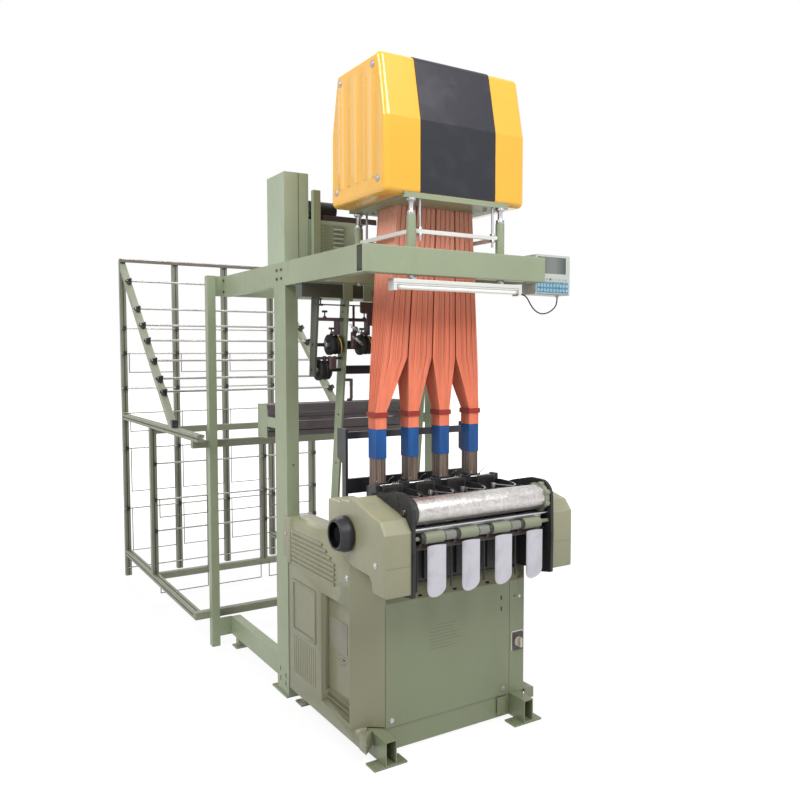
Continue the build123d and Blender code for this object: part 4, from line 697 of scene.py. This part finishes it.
def spring(x, y, z, radius, turns, pitch, drop=0.0, thickness=1.0):
    """A coil spring along X from the middle of its first turn, eight steps to a turn."""
    points = []
    for k in range(8 * turns + 1):
        angle = k * math.pi / 4
        across, up = radius * math.cos(angle), radius * math.sin(angle)
        points.append((x + pitch * k, y + across, z - drop * k + up))
    return wire(points, thickness, True, 1)


def joined(pieces, name):
    """Joins pieces into one named object."""
    free()
    for piece in pieces:
        piece.select_set(True)
    bpy.context.view_layer.objects.active = pieces[0]
    if len(pieces) > 1:
        bpy.ops.object.join()
    piece = bpy.context.object
    piece.name = name
    piece.data.name = name
    return piece


def dressed(piece, material, body="loom", angle=32):
    """Gives a finished piece its material and the body that it moves with."""
    hold(piece)
    bpy.ops.object.shade_smooth_by_angle(angle=math.radians(angle))
    piece.data.materials.clear()
    piece.data.materials.append(MATERIALS[material])
    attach(piece, body)


def fitting(pieces, name, material, body="loom", angle=32):
    """Joins pieces into one named fitting and dresses it."""
    dressed(joined(pieces, name), material, body, angle)


# Sizes and colours that a user would change


class LoomSettings(bpy.types.PropertyGroup):
    strand_count: IntProperty(
        name="Strands",
        description="Cords across the front of one bundle",
        default=32,
        min=8,
        max=60,
    )
    strand_radius: FloatProperty(
        name="Strand radius",
        description="Radius of one harness cord",
        default=0.0016,
        min=0.0003,
        max=0.004,
        unit="LENGTH",
    )
    floor_colour: FloatVectorProperty(
        name="Floor",
        description="Colour of the studio floor",
        subtype="COLOR",
        size=4,
        default=(0.7, 0.7, 0.7, 1.0),
        min=0.0,
        max=1.0,
    )
    light_power: FloatProperty(
        name="Lights",
        description="Power that each soft light takes its share of",
        default=330.0,
        min=0.0,
        unit="POWER",
    )


# Operators


class LOOM_OT_finishes(bpy.types.Operator):
    """Makes the finishes, gives one to each node of the model and smooths the round and moulded ones"""

    bl_idname = "loom.finishes"
    bl_label = "Finishes"

    def execute(self, context):
        make_materials()
        for finish, names in NODE_FINISH.items():
            for name in names.split():
                node = NODES[name]
                node.data.materials.clear()
                node.data.materials.append(MATERIALS[finish])
                if name not in SMOOTH:
                    continue
                copy = smooth_copy(node, name, context.scene)
                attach(copy, body_of(node)[0])
                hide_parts(name)
        return {"FINISHED"}


def smooth_copy(node, name, scene):
    """A copy of a node with its loose triangles merged and its round faces smooth."""
    copy = node.copy()
    copy.data = node.data.copy()
    copy.name = copy.data.name = name + "_skin"
    for key in list(copy.keys()):
        del copy[key]
    copy.parent = None
    scene.collection.objects.link(copy)
    hold(copy)
    bpy.ops.object.mode_set(mode="EDIT")
    bpy.ops.mesh.select_all(action="SELECT")
    bpy.ops.mesh.remove_doubles(threshold=0.00001)
    bpy.ops.object.mode_set(mode="OBJECT")
    bpy.ops.object.shade_smooth_by_angle(angle=math.radians(SMOOTH[name]))
    even = copy.modifiers.new("even", "WEIGHTED_NORMAL")
    even.keep_sharp = True
    bpy.ops.object.modifier_apply(modifier=even.name)
    return copy


CABLE_RADIUS = 3
CABLE = (
    (352, 37, 1870),
    (376, 37, 1870),
    (408, 50, 1858),
    (446, 74, 1834),
    (488, 94, 1808),
    (540, 108, 1792),
    (592, 114, 1800),
    (636, 119, 1826),
    (648, 120, 1850),
    (648, 120, 1872),
)


class LOOM_OT_cable(bpy.types.Operator):
    """Hangs the lamp's cable between the lamp and the control panel"""

    bl_idname = "loom.cable"
    bl_label = "Cable"

    def execute(self, context):
        free()
        bpy.ops.curve.primitive_nurbs_path_add()
        cable = context.object
        cable.location = (0, 0, 0)
        curve = cable.data
        curve.splines.clear()
        set_line(curve, CABLE, True)
        curve.dimensions = "3D"
        curve.resolution_u = 12
        curve.bevel_depth = CABLE_RADIUS * MM
        curve.bevel_resolution = 4
        cable.name = curve.name = "lamp_cable"
        curve.materials.append(MATERIALS["rubber"])
        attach(cable, "loom")
        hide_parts("panel_cable")
        return {"FINISHED"}


# A harness bundle: its layers of cords from front to back, its pleats, and how cords and core lie in it
LAYERS = 9
PLEATS = 4
WAIST_WIDTH = 123
WANDER = 0.7
CORE_INSET = 6
STRAND_INSET = 3


def bundle_stations(index):
    """Heights, middles, widths, depths and pleating of one harness bundle, from its collar up to the head."""
    x = HEAD_X[index]
    place = index - 1.5
    return (
        (1297, x, 55, 66, 0),
        (1368, x, 55, 66, 0.1),
        (1600, CENTRE + place * 124, WAIST_WIDTH, 110, 0.3),
        (2258, CENTRE + place * 96, 95, 168, 1),
    )


def add_strut(verts, faces, rings):
    """Adds a closed four-sided strut through rings of four corners."""
    base = len(verts)
    top = base + 4 * (len(rings) - 1)
    for ring in rings:
        verts.extend((x * MM, y * MM, z * MM) for x, y, z in ring)
    for low in range(base, top, 4):
        for j in range(4):
            n = (j + 1) % 4
            faces.append((low + j, low + n, low + 4 + n, low + 4 + j))
    faces.append((base + 3, base + 2, base + 1, base))
    faces.append((top, top + 1, top + 2, top + 3))


def strand_places(across):
    """Layer and number of each strand of a bundle: its outer two layers all round."""
    for layer in range(LAYERS):
        outer = layer in (0, 1, LAYERS - 2, LAYERS - 1)
        for i in range(across):
            if outer or i in (0, 1, across - 2, across - 1):
                yield layer, i


def strand_rings(index, layer, i, across, radius):
    """The corners of one strand, which gathers into its pleat towards the head."""
    fold = across // PLEATS
    v = layer / (LAYERS - 1) - 0.5
    even = (i + 0.5 + 0.25 * (layer % 2)) / across - 0.5
    pleat = (i // fold + 0.1 + 0.8 * (i % fold + 0.5) / fold) / PLEATS - 0.5
    shift = WANDER * math.sin(7.3 * i + 3.1 * layer + index)
    for z, middle, width, depth, pleated in bundle_stations(index):
        u = even + (pleat - even) * pleated
        x = middle + u * (width - STRAND_INSET) + shift * width / WAIST_WIDTH
        y = HARNESS_Y + v * (depth - STRAND_INSET) + shift * 0.5
        yield [(x + dx * radius, y + dy * radius, z) for dx, dy in ((-1, 0), (0, -1), (1, 0), (0, 1))]


def core_rings(index):
    """The corners of one bundle's plain core."""
    for z, middle, width, depth, _ in bundle_stations(index):
        x, y = width / 2 - CORE_INSET, depth / 2 - CORE_INSET
        corners = ((-1, -1), (1, -1), (1, 1), (-1, 1))
        yield [(middle + dx * x, HARNESS_Y + dy * y, z) for dx, dy in corners]


class LOOM_OT_harness(bpy.types.Operator):
    """Strings the orange harness cords over each bundle's core"""

    bl_idname = "loom.harness"
    bl_label = "Harness"

    def execute(self, context):
        settings = context.scene.loom_settings
        across = settings.strand_count // PLEATS * PLEATS
        verts, faces = [], []
        for index in range(4):
            for layer, i in strand_places(across):
                rings = strand_rings(index, layer, i, across, settings.strand_radius / MM)
                add_strut(verts, faces, list(rings))
        first_core_face = len(faces)
        for index in range(4):
            add_strut(verts, faces, list(core_rings(index)))
        mesh = bpy.data.meshes.new("harness_strands")
        mesh.from_pydata(verts, [], faces)
        strands = bpy.data.objects.new("harness_strands", mesh)
        context.scene.collection.objects.link(strands)
        hold(strands)
        bpy.ops.object.mode_set(mode="EDIT")
        bpy.ops.mesh.select_all(action="SELECT")
        bpy.ops.mesh.normals_make_consistent(inside=False)
        bpy.ops.object.mode_set(mode="OBJECT")
        dressed(strands, "cords")
        strands.data.materials.append(MATERIALS["core"])
        for face in strands.data.polygons[first_core_face:]:
            face.material_index = 1
        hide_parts("harness_cords")
        return {"FINISHED"}


HUB_BOLTS = ((-72, 1040), (-60, 1062), (20, 1050), (90, 1040))


class LOOM_OT_take_up(bpy.types.Operator):
    """Adds the fittings round the take-up drum and the rollers, and a disc of painted shade in the
    handwheel's hollow
    """

    bl_idname = "loom.take_up"
    bl_label = "Take-up fittings"

    def execute(self, context):
        flange = round_bar(-303.5, *DRUM, radius=54, length=19, sides=64, edge=2)
        fitting([flange], "drum_flange", "plastic", "takeup")
        hub = round_bar(-334, *DRUM, radius=13, length=8, sides=32, edge=2)
        bolts = [round_bar(-331.5, y, z, radius=5, length=3, sides=6, edge=0) for y, z in HUB_BOLTS]
        fitting([hub] + bolts, "drum_bearing", "dark")
        gaps = [x + 75 for x in HEAD_X[:-1]]
        sleeves = [round_bar(x, *DELIVERY, radius=19, length=50, sides=40, edge=1.5) for x in gaps]
        fitting(sleeves, "clear_sleeves", "clear", "delivery")
        caps = [round_bar(x - 64, *DELIVERY, radius=7, length=6, edge=1) for x in HEAD_X]
        fitting(caps, "holder_bolts", "dark")
        press = round_bar(CENTRE, -112, 936, radius=16.5, length=640, sides=40, edge=1.5)
        apron = bar((-296, 334), (-134, -131), (934, 951), 0.5)
        fitting([press, apron], "press_roller", "sheet")
        sleeve = round_bar(CENTRE, -122, 878, radius=14, length=622, sides=32, edge=1.5)
        fitting([sleeve], "chute_bar_sleeve", "brown")
        # painted shade: a near-black disc in the handwheel's hollow, over the shaft's end
        hollow = round_bar(-487.6, *MAIN_SHAFT, radius=29, length=3, sides=48, edge=1)
        fitting([hollow], "handwheel_cap", "hollow", "main_drive")
        return {"FINISHED"}


# Radius and points of the wire hooks of one weaving head, with X from the head's middle
HOOKS = (
    (1.6, ((-62, 190, 1068), (-34, 178, 1070), (-6, 176, 1064), (20, 186, 1068), (60, 190, 1068))),
    (1.3, ((-30, 236, 1062), (-34, 214, 1084), (-46, 196, 1092), (-52, 190, 1084))),
    (1.3, ((22, 236, 1062), (28, 212, 1096), (36, 198, 1100))),
)


class LOOM_OT_heads(bpy.types.Operator):
    """Adds the spring blocks, springs and wire hooks behind the reeds, and the rod that carries them"""

    bl_idname = "loom.heads"
    bl_label = "Weaving head fittings"

    def execute(self, context):
        blocks, bright = [], []
        for x in (x + HEAD_PITCH / 2 for x in HEAD_X[:-1]):
            blocks.append(bar((x - 17, x + 17), (172, 214), (1044, 1080), 2))
            blocks.append(bar((x - 8, x + 8), (178, 206), (1080, 1092), 2))
        for x in (-278, 340):
            blocks.append(bar((x - 11, x + 11), (172, 214), (1040, 1076), 2))
        for x in HEAD_X:
            blocks.append(bar((x - 36, x + 36), (236, 242), (1052, 1070), 1))
            for radius, points in HOOKS:
                bright.append(wire([(x + dx, y, z) for dx, y, z in points], radius, True))
            bright.append(spring(x + 62, 200, 1072, radius=4.5, turns=4, pitch=-1.1, thickness=0.9))
        bright.append(round_bar(31, 206, 1066, radius=3, length=610, sides=16, edge=0.5))
        fitting(blocks, "spring_blocks", "plastic")
        fitting(bright, "springs_and_hooks", "wire", angle=50)
        return {"FINISHED"}


def hanger_y(z):
    """Y of the leaning hanger bars' middle at a height."""
    return 599 + (1865 - z) * 0.1176


def t_knob(x, y, z, up=1):
    """A T-shaped clamp screw with its stem and collar, upright or hanging."""
    return [
        round_bar(x, y, z + up * 11, 3.2, 24, "Z", 16, 0.5),
        round_bar(x, y, z + up * 25, 5, 26, "X", 16, 1.5),
        round_bar(x, y, z, 8, 7, "Z", 24, 1),
    ]


# Rollers' name, body, height and discs' X of each feed shaft, and the radii of a roller's ribs
FEED_SHAFTS = (
    ("feed_rollers_1", "feed_1", 1655, (-276, -118)),
    ("feed_rollers_2", "feed_2", 1540, (-326,)),
)
RIBS = (44, 40, 44, 40, 43)
RIB_PITCH = 9
STRAP_X = (-262, -104)


def feed_rollers():
    """Rubber rollers and hubs beside the discs, which turn with their shafts."""
    for name, body, z, discs in FEED_SHAFTS:
        y = hanger_y(z)
        rubber, hubs = [], []
        for x in discs:
            for k, radius in enumerate(RIBS):
                rubber.append(round_bar(x + 17 + k * RIB_PITCH, y, z, radius, 9.4, sides=40, edge=2.6))
            hubs.append(round_bar(x - 8, y, z, radius=17, length=18, sides=32, edge=2))
            hubs.append(round_bar(x - 19, y, z, radius=12, length=8, sides=32, edge=1.5))
        fitting(rubber, name, "rubber", body)
        fitting(hubs, name + "_hubs", "steel", body)


def feed_clamps():
    """Clamp screws on the yarn bar, under the hanger beam and over the upper rollers."""
    knobs = []
    for x in (-300, -196, -96):
        knobs += t_knob(x, hanger_y(1770), 1780)
    for x in (-330, -205, -60):
        knobs += t_knob(x, 590, 1858, -1)
    for x in STRAP_X:
        knobs += t_knob(x, hanger_y(1655) - 4, 1704)
    fitting(knobs, "feed_clamp_screws", "brown")


def feed_brackets():
    """The rod under the hanger beam and the brackets, pads and levers on it and round the rollers."""
    parts = [round_bar(-150, 590, 1834, radius=3, length=420, sides=16, edge=0.5)]
    parts += bars(((-266, -236), (586, 624), (1700, 1716), 2), ((-108, -78), (586, 624), (1700, 1716), 2))
    parts += [bar((x, x + 10), (596, 640), (1700, 1772), 2) for x in (-240, -82)]
    parts.append(bar((-312, -200), (626, 650), (1588, 1600), 2))
    for k in range(3):
        parts.append(bar((-300 + 26 * k, -286 + 26 * k), (618, 640), (1578, 1604), 3))
    parts += bars(
        ((-292, -258), (572, 590), (1544, 1600), 4),
        ((-286, -270), (574, 640), (1588, 1600), 2),
        ((-180, -166), (590, 604), (1404, 1500), 4),
        ((-196, -168), (590, 602), (1396, 1410), 4),
        ((-199, -166), (592, 650), (1488, 1500), 2),
    )
    parts.append(round_bar(-156, 586, 1722, radius=17, length=14, edge=2))
    parts += bars(((-176, -150), (582, 600), (1640, 1716), 5), ((-168, -158), (586, 593), (1730, 1834), 1))
    fitting(parts, "feed_brackets", "brown")


def feed_straps():
    """The yellow straps half round the upper rollers."""
    straps = []
    z0 = 1655
    y0 = hanger_y(z0)
    for x in STRAP_X:
        loop = []
        for k in range(25):
            angle = math.radians(40 + 190 * k / 24)
            loop.append((x + 10 + 1.1 * k, y0 + 47 * math.cos(angle), z0 + 47 * math.sin(angle)))
        straps.append(wire(loop, 2.8, resolution=2))
    fitting(straps, "feed_straps", "strap")


# Y of the front face, lower and upper height of the warp guide's boards
GUIDE_BOARDS = ((1090, 1318, 1352), (1093, 1272, 1314), (1090, 1226, 1268), (1093, 1196, 1222))


class LOOM_OT_warp_feed(bpy.types.Operator):
    """Adds the warp feed's ribbed rollers, clamp screws, brackets, springs, straps and guide boards"""

    bl_idname = "loom.warp_feed"
    bl_label = "Warp feed fittings"

    def execute(self, context):
        feed_rollers()
        feed_clamps()
        feed_brackets()
        coils = []
        for x, z in ((-188, 1742), (-176, 1690)):
            coils.append(spring(x, 574, z, radius=7, turns=7, pitch=0.95, drop=0.6, thickness=1.6))
        fitting(coils, "feed_springs", "wire", angle=50)
        boards = [bar((-379, 419), (y, y + 3), (foot, top), 1) for y, foot, top in GUIDE_BOARDS]
        fitting(boards, "guide_boards", "boards")
        feed_straps()
        return {"FINISHED"}


def jack_nuts():
    """Nuts on the four jack screws and on the four rods of the guide frame."""
    nuts = []
    for x in (-203, 243):
        for y in (37, 465):
            for z, radius, length in ((2165, 17, 9), (2219, 17, 9), (1919, 13, 12)):
                nuts.append(round_bar(x, y, z, radius, length, "Z", 6, 1))
    for x in (-162, 202):
        for y in (89, 413):
            for z in (2219, 2112, 2086):
                nuts.append(round_bar(x, y, z, 9, 8, "Z", 6, 0.6))
    fitting(nuts, "jack_nuts", "steel")


BEAM_BOLTS = tuple((y, z) for y in (780, 830) for z in (1960, 2000)) + tuple(
    (y, z) for y in (1560, 1590) for z in (1950, 2010)
)


def gantry_bolts():
    """Bolts where the beams meet the columns, and small ones up the left column's front."""
    bolts = [round_bar(-438, y, z, 7, 6, "X", 6, 0.6) for y, z in BEAM_BOLTS]
    bolts += [round_bar(-405, 735.5, z, 4, 4, "Y", 8, 0.4) for z in (300, 700, 1100)]
    fitting(bolts, "gantry_bolts", "dark")


class LOOM_OT_gantry_fittings(bpy.types.Operator):
    """Adds the roof's post, tray and louvres, the lamp's reflector, the beams' shade, nuts and bolts"""

    bl_idname = "loom.gantry_fittings"
    bl_label = "Gantry fittings"

    def execute(self, context):
        shades = bars(
            ((-437.4, -435.6), (19, 56), (1934, 2024), 0),
            ((-367.4, -365), (738.2, 739.4), (2036, 2436), 0),
        )
        fitting(shades, "beam_end_shade", "shade")
        tray = bars(
            ((-236, 52), (748, 896), (2252, 2262), 1),
            ((-236, 52), (748, 752), (2236, 2252), 0.5),
            ((-146, -70), (557, 564), (1800, 1850), 6),
            ((-112, -70), (557, 564), (1742, 1806), 6),
        )
        tray.append(round_bar(-66, 552, 1890, 20, 9, "Y", 32, 2))
        fitting(tray, "roof_tray", "brown")
        places = [(x, 2090 + 16 * i) for x in (-290, -240) for i in range(8)]
        spots = [round_bar(x, 739, z, 2.6, 1.2, "Y", 10, 0) for x, z in places]
        fitting(spots, "vent_spots", "white")
        fitting([bar((-281, 331), (17, 57), (1883.5, 1890), 1)], "lamp_reflector", "white")
        green = bars(
            ((-310, -272), (700, 724), (2041, 2362), 2),
            ((-330, -190), (692, 736), (2033, 2041), 1),
            ((-381, -372), (870, 934), (1880, 1925), 1),
            ((-242, 282), (24.5, 34), (2238, 2247.5), 0.5),
            ((-232, -184), (555, 564), (1850, 1937), 1),
            ((224, 272), (555, 564), (1850, 1937), 1),
            ((-128, -40), (556, 563), (1852, 1925), 1),
            ((-192, -134), (737, 738.8), (2098, 2214), 0.3),
        )
        fitting(green, "roof_post", "gantry", angle=30)
        hoods = [bar((-190, -136), (731, 737), (2106 + 21 * k, 2116 + 21 * k), 3) for k in range(5)]
        fitting(hoods, "louvre_hoods", "pale")
        jack_nuts()
        gantry_bolts()
        return {"FINISHED"}


# Y of the front panel's face
FRONT = 50


def cover_washers():
    """Bright washers under the bolts of the head's cover, the housings, the lower covers and the base."""
    washers = []
    for side in (-1, 1):
        for y, z in ((82, 2297), (428, 2297), (118, 2742), (392, 2742)):
            washers.append(round_bar(CENTRE + side * 351, y, z, 15, 2.4, edge=0.6))
        washers.append(round_bar(CENTRE + side * 466, -94, 824, 13, 2, edge=0.5))
        washers.append(round_bar(CENTRE + side * 453, 158, 714, 13, 2, edge=0.5))
        washers.append(round_bar(CENTRE + side * 461.5, 750, 781, 8, 3, sides=16))
    for x in (-288, 291):
        washers.append(round_bar(x, FRONT - 1, 132, 11, 2, "Y", 24, 0.5))
    washers.append(round_bar(377, FRONT - 0.5, 537, 7, 3, "Y", 16, 0.5))
    fitting(washers, "cover_washers", "steel")


# Start along Y, length and foot of the plain bars under the side plate; left and right end of the front ones
PLATE_BARS = ((0, 66, 342), (12, 36, 330), (0, 24, 330), (4, 76, 316), (20, 30, 304))
FRONT_BARS = ((-70, 30), (-100, 20), (-104, 8), (-104, 46), (-104, 30), (-104, 62), (-104, 12), (-104, 40))


def blank_plates():
    """A grey plate in the left cover's recess with plain bars under it, and plain bars on the front panel."""
    plates = [bar((-395.6, -394), (228, 380), (362, 492), 0.3)]
    for y, length, z in PLATE_BARS:
        plates.append(bar((-395.4, -394), (240 + y, 240 + y + length), (z, z + 5), 0))
    fitting(plates, "blank_plate", "plate")
    lines = []
    for k, ends in enumerate(FRONT_BARS):
        z = 486 - 14 * k
        lines.append(bar(ends, (FRONT - 0.3, FRONT + 0.1), (z, z + 2.4), 0))
    fitting(lines, "front_print", "print")


def foot_fittings():
    """The raked toe under the left cover's front corner and the small plate on the sill."""
    toe = bar((-432, -379), (4, 62), (46, 116), 0)
    for vertex in toe.data.vertices:
        if vertex.co.x > -0.4 and vertex.co.y < 0.03:
            vertex.co.y = 0.052
    fitting([bevelled(toe, 3)], "cover_toe", "body")
    fitting([bar((254, 298), (46, 50), (22, 98), 0.8)], "sill_plate", "frame")


class LOOM_OT_cover_fittings(bpy.types.Operator):
    """Adds the rivets, washers, blank plates, slots, toe and isolator's rim of the covers and the base"""

    bl_idname = "loom.cover_fittings"
    bl_label = "Cover fittings"

    def execute(self, context):
        rivets = [round_bar(x, 26.5, z, 4, 4, "Y", 10) for x in (-157, 197) for z in (2262, 2350, 2440, 2520)]
        fitting(rivets, "panel_rivets", "steel")
        cover_washers()
        blank_plates()
        skin = (FRONT - 0.7, FRONT + 0.2)
        slots = [bar((271, 279), skin, (z - 9, z + 9), 0) for z in (545, 496)]
        slots.append(bar((345, 353), skin, (538, 546), 0))
        fitting(slots, "front_slots", "shade")
        foot_fittings()
        skin = (FRONT - 1.4, FRONT + 0.2)
        rim = [bar((333, 399), skin, (z, z + 4), 0.6) for z in (297, 378)]
        rim += [bar((x, x + 4), skin, (297, 382), 0.6) for x in (333, 395)]
        fitting(rim, "isolator_rim", "white")
        return {"FINISHED"}


PANEL_FRONT = 85
KEY_PITCH = 19


def panel_key(x, width, z, height, proud, sunk):
    """One key of the control panel by its left end and foot, and how far it stands out and reaches in."""
    return bar((x, x + width), (PANEL_FRONT - proud, PANEL_FRONT + sunk), (z, z + height), 0.8)


class LOOM_OT_panel_keys(bpy.types.Operator):
    """Adds the control panel's buttons, with a red one, and its blank keys"""

    bl_idname = "loom.panel_keys"
    bl_label = "Panel keys"

    def execute(self, context):
        places = [549 + KEY_PITCH * i for i in range(7)]
        stop = places.pop(1)
        buttons = [panel_key(x, 11, 1945, 8, 2, 0.5) for x in places]
        fitting(buttons, "panel_buttons", "sheet")
        fitting([panel_key(stop, 11, 1945, 8, 2.5, 0.5)], "stop_button", "red")
        keys = [panel_key(496 + KEY_PITCH * i, 14, z, 13, 1.4, 0.4) for z in (1893, 1914) for i in range(10)]
        fitting(keys, "panel_key_pads", "keys")
        return {"FINISHED"}


def incline_point(z, lift):
    """Y and Z over the creel's incline at a height along it, lifted square to it."""
    y, foot = INCLINE_FOOT
    share = (z - foot) / INCLINE_RISE
    return y + share * INCLINE_RUN - INCLINE_SIN * lift, z + INCLINE_COS * lift


class LOOM_OT_creel_fittings(bpy.types.Operator):
    """Adds the creel's rod clamps, wing screws, incline feet and top rail"""

    bl_idname = "loom.creel_fittings"
    bl_label = "Creel fittings"

    def execute(self, context):
        black = []
        ends = (CREEL_POST_X[0], CREEL_POST_X[-1])
        for x in ends:
            outwards = math.copysign(24, x)
            for rod in (2102, 1901, 1788, 1686, 1557, 1447, 1370):
                y, z = incline_point(rod, 18)
                black.append(round_bar(x + outwards, y, z, 9, 8, "X", 20, 1.5))
                black.append(round_bar(x + 4, y - 18, z + 12, 8, 18, "Y", 16, 1.5))
        for x in CREEL_POST_X:
            for z in (1794, 1615, 1364, 930, 494):
                black.append(bar((x - 12, x + 12), (3222, 3232), (z - 14, z + 16), 2))
            for z in (908, 674, 472):
                black.append(bar((x - 10, x + 10), (2470, 2482), (z - 12, z + 14), 2))
            if x in ends:
                black.append(bar((x - 19, x + 19), (1996, 2036), (1176, 1226), 2))
        fitting(black, "creel_clamps", "plastic")
        rail = bar((-611, 557), (3229, 3245), (2262, 2279.5), 2)
        fitting([rail], "creel_top_rail", "loops")
        return {"FINISHED"}


CAMERA_PLACE = (-1.8977, -2.6177, 1.6191)
CAMERA_DOWN = 3.43
CAMERA_ROLL = 0.05
CAMERA_RIGHT = 31.75
# Name, place, width, share of the power, aim and spread in degrees of each soft light
LIGHTS = (
    ("key", (0.8, -4.4, 6.2), 3.0, 0.2, (0, 0.8, 2.1), 80),
    ("side", (-4.6, -0.6, 5.2), 2.6, 0.2, (-0.2, 0.8, 1.5), 110),
    ("back", (1.5, 6.5, 5.4), 4.0, 0.45, (0, 1.6, 1.2), 180),
)
FLOOR_GLOW = 1.32
WORLD_LIGHT = 0.52


def place_camera(scene):
    """The camera where the photograph's stood."""
    turn = (math.radians(90 - CAMERA_DOWN), math.radians(CAMERA_ROLL), math.radians(-CAMERA_RIGHT))
    bpy.ops.object.camera_add(location=CAMERA_PLACE, rotation=turn)
    camera = bpy.context.object
    camera.name = "camera"
    camera.data.sensor_width = 36
    camera.data.lens = 35.578
    camera.data.clip_end = 60
    scene.camera = camera


def lay_floor(colour):
    """A pale floor that keeps the loom's shadow and shows white further out."""
    bpy.ops.mesh.primitive_plane_add(size=60, location=(0, 1.5, 0))
    floor = bpy.context.object
    floor.name = "floor"
    finish = Finish("studio floor", colour, 0.9)
    camera_ray = finish.add("LightPath", output="Is Camera Ray")
    direct = camera_ray.larger(finish.add("LightPath", output="Is Glossy Ray"))
    x, y = finish.axis("X"), finish.axis("Y")
    far = finish.ramp(x * x + y * y, 3.0, 16.0)
    pale = finish.mix(far, (0.84, 0.84, 0.84, 1), (1, 1, 1, 1))
    glow = finish.add("Emission", sockets={"Color": pale, "Strength": FLOOR_GLOW})
    enamel = Value(finish.tree, finish.shader.outputs[0])
    blend = finish.add("MixShader", sockets={0: direct * (far * 0.2 + 0.8), 1: enamel, 2: glow})
    out = finish.tree.nodes["Material Output"]
    finish.tree.links.new(blend.socket, out.inputs["Surface"])
    floor.data.materials.append(finish.material)


def hang_lights(power):
    """The three soft lights."""
    for name, place, size, share, aim, spread in LIGHTS:
        bpy.ops.object.light_add(type="AREA", location=place)
        lamp = bpy.context.object
        lamp.name = name
        lamp.data.size = size
        lamp.data.energy = power * share
        lamp.data.spread = math.radians(spread)
        lamp.rotation_euler = (Vector(aim) - Vector(place)).to_track_quat("-Z", "Y").to_euler()


def light_world(scene):
    """A white world, dimmer as light than it looks."""
    world = bpy.data.worlds.new("studio")
    scene.world = world
    world.use_nodes = True
    tree = world.node_tree
    sky = tree.nodes["Background"]
    sky.inputs["Color"].default_value = (1, 1, 1, 1)
    path = tree.nodes.new("ShaderNodeLightPath")
    seen, mirrored, through = (
        Value(tree, path.outputs[ray]) for ray in ("Is Camera Ray", "Is Glossy Ray", "Is Transmission Ray")
    )
    direct = seen.larger(mirrored).larger(through)
    strength = direct * (1 - WORLD_LIGHT) + WORLD_LIGHT
    tree.links.new(strength.socket, sky.inputs["Strength"])


class LOOM_OT_stage(bpy.types.Operator):
    """Sets the camera, the floor and the soft lights"""

    bl_idname = "loom.stage"
    bl_label = "Studio"

    def execute(self, context):
        scene = context.scene
        settings = scene.loom_settings
        free()
        place_camera(scene)
        lay_floor(tuple(settings.floor_colour))
        hang_lights(settings.light_power)
        light_world(scene)
        scene.view_settings.view_transform = "Standard"
        return {"FINISHED"}


class LOOM_PT_panel(bpy.types.Panel):
    """Lists the loom's operators and its sizes"""

    bl_label = "Loom"
    bl_idname = "LOOM_PT_panel"
    bl_space_type = "VIEW_3D"
    bl_region_type = "UI"
    bl_category = "Loom"

    def draw(self, context):
        for name in ("strand_count", "strand_radius", "floor_colour", "light_power"):
            self.layout.prop(context.scene.loom_settings, name)
        for operator in OPERATORS:
            self.layout.operator(operator.bl_idname)


OPERATORS = (
    LOOM_OT_finishes,
    LOOM_OT_cable,
    LOOM_OT_harness,
    LOOM_OT_take_up,
    LOOM_OT_heads,
    LOOM_OT_warp_feed,
    LOOM_OT_gantry_fittings,
    LOOM_OT_cover_fittings,
    LOOM_OT_panel_keys,
    LOOM_OT_creel_fittings,
    LOOM_OT_stage,
)
CLASSES = (LoomSettings,) + OPERATORS + (LOOM_PT_panel,)


def register():
    for item in CLASSES:
        bpy.utils.register_class(item)
    bpy.types.Scene.loom_settings = PointerProperty(type=LoomSettings)


def unregister():
    del bpy.types.Scene.loom_settings
    for item in reversed(CLASSES):
        bpy.utils.unregister_class(item)


def main():
    register()
    bpy.ops.loom.finishes()
    bpy.ops.loom.cable()
    bpy.ops.loom.harness()
    bpy.ops.loom.take_up()
    bpy.ops.loom.heads()
    bpy.ops.loom.warp_feed()
    bpy.ops.loom.gantry_fittings()
    bpy.ops.loom.cover_fittings()
    bpy.ops.loom.panel_keys()
    bpy.ops.loom.creel_fittings()
    bpy.ops.loom.stage()


if __name__ == "__main__":
    main()
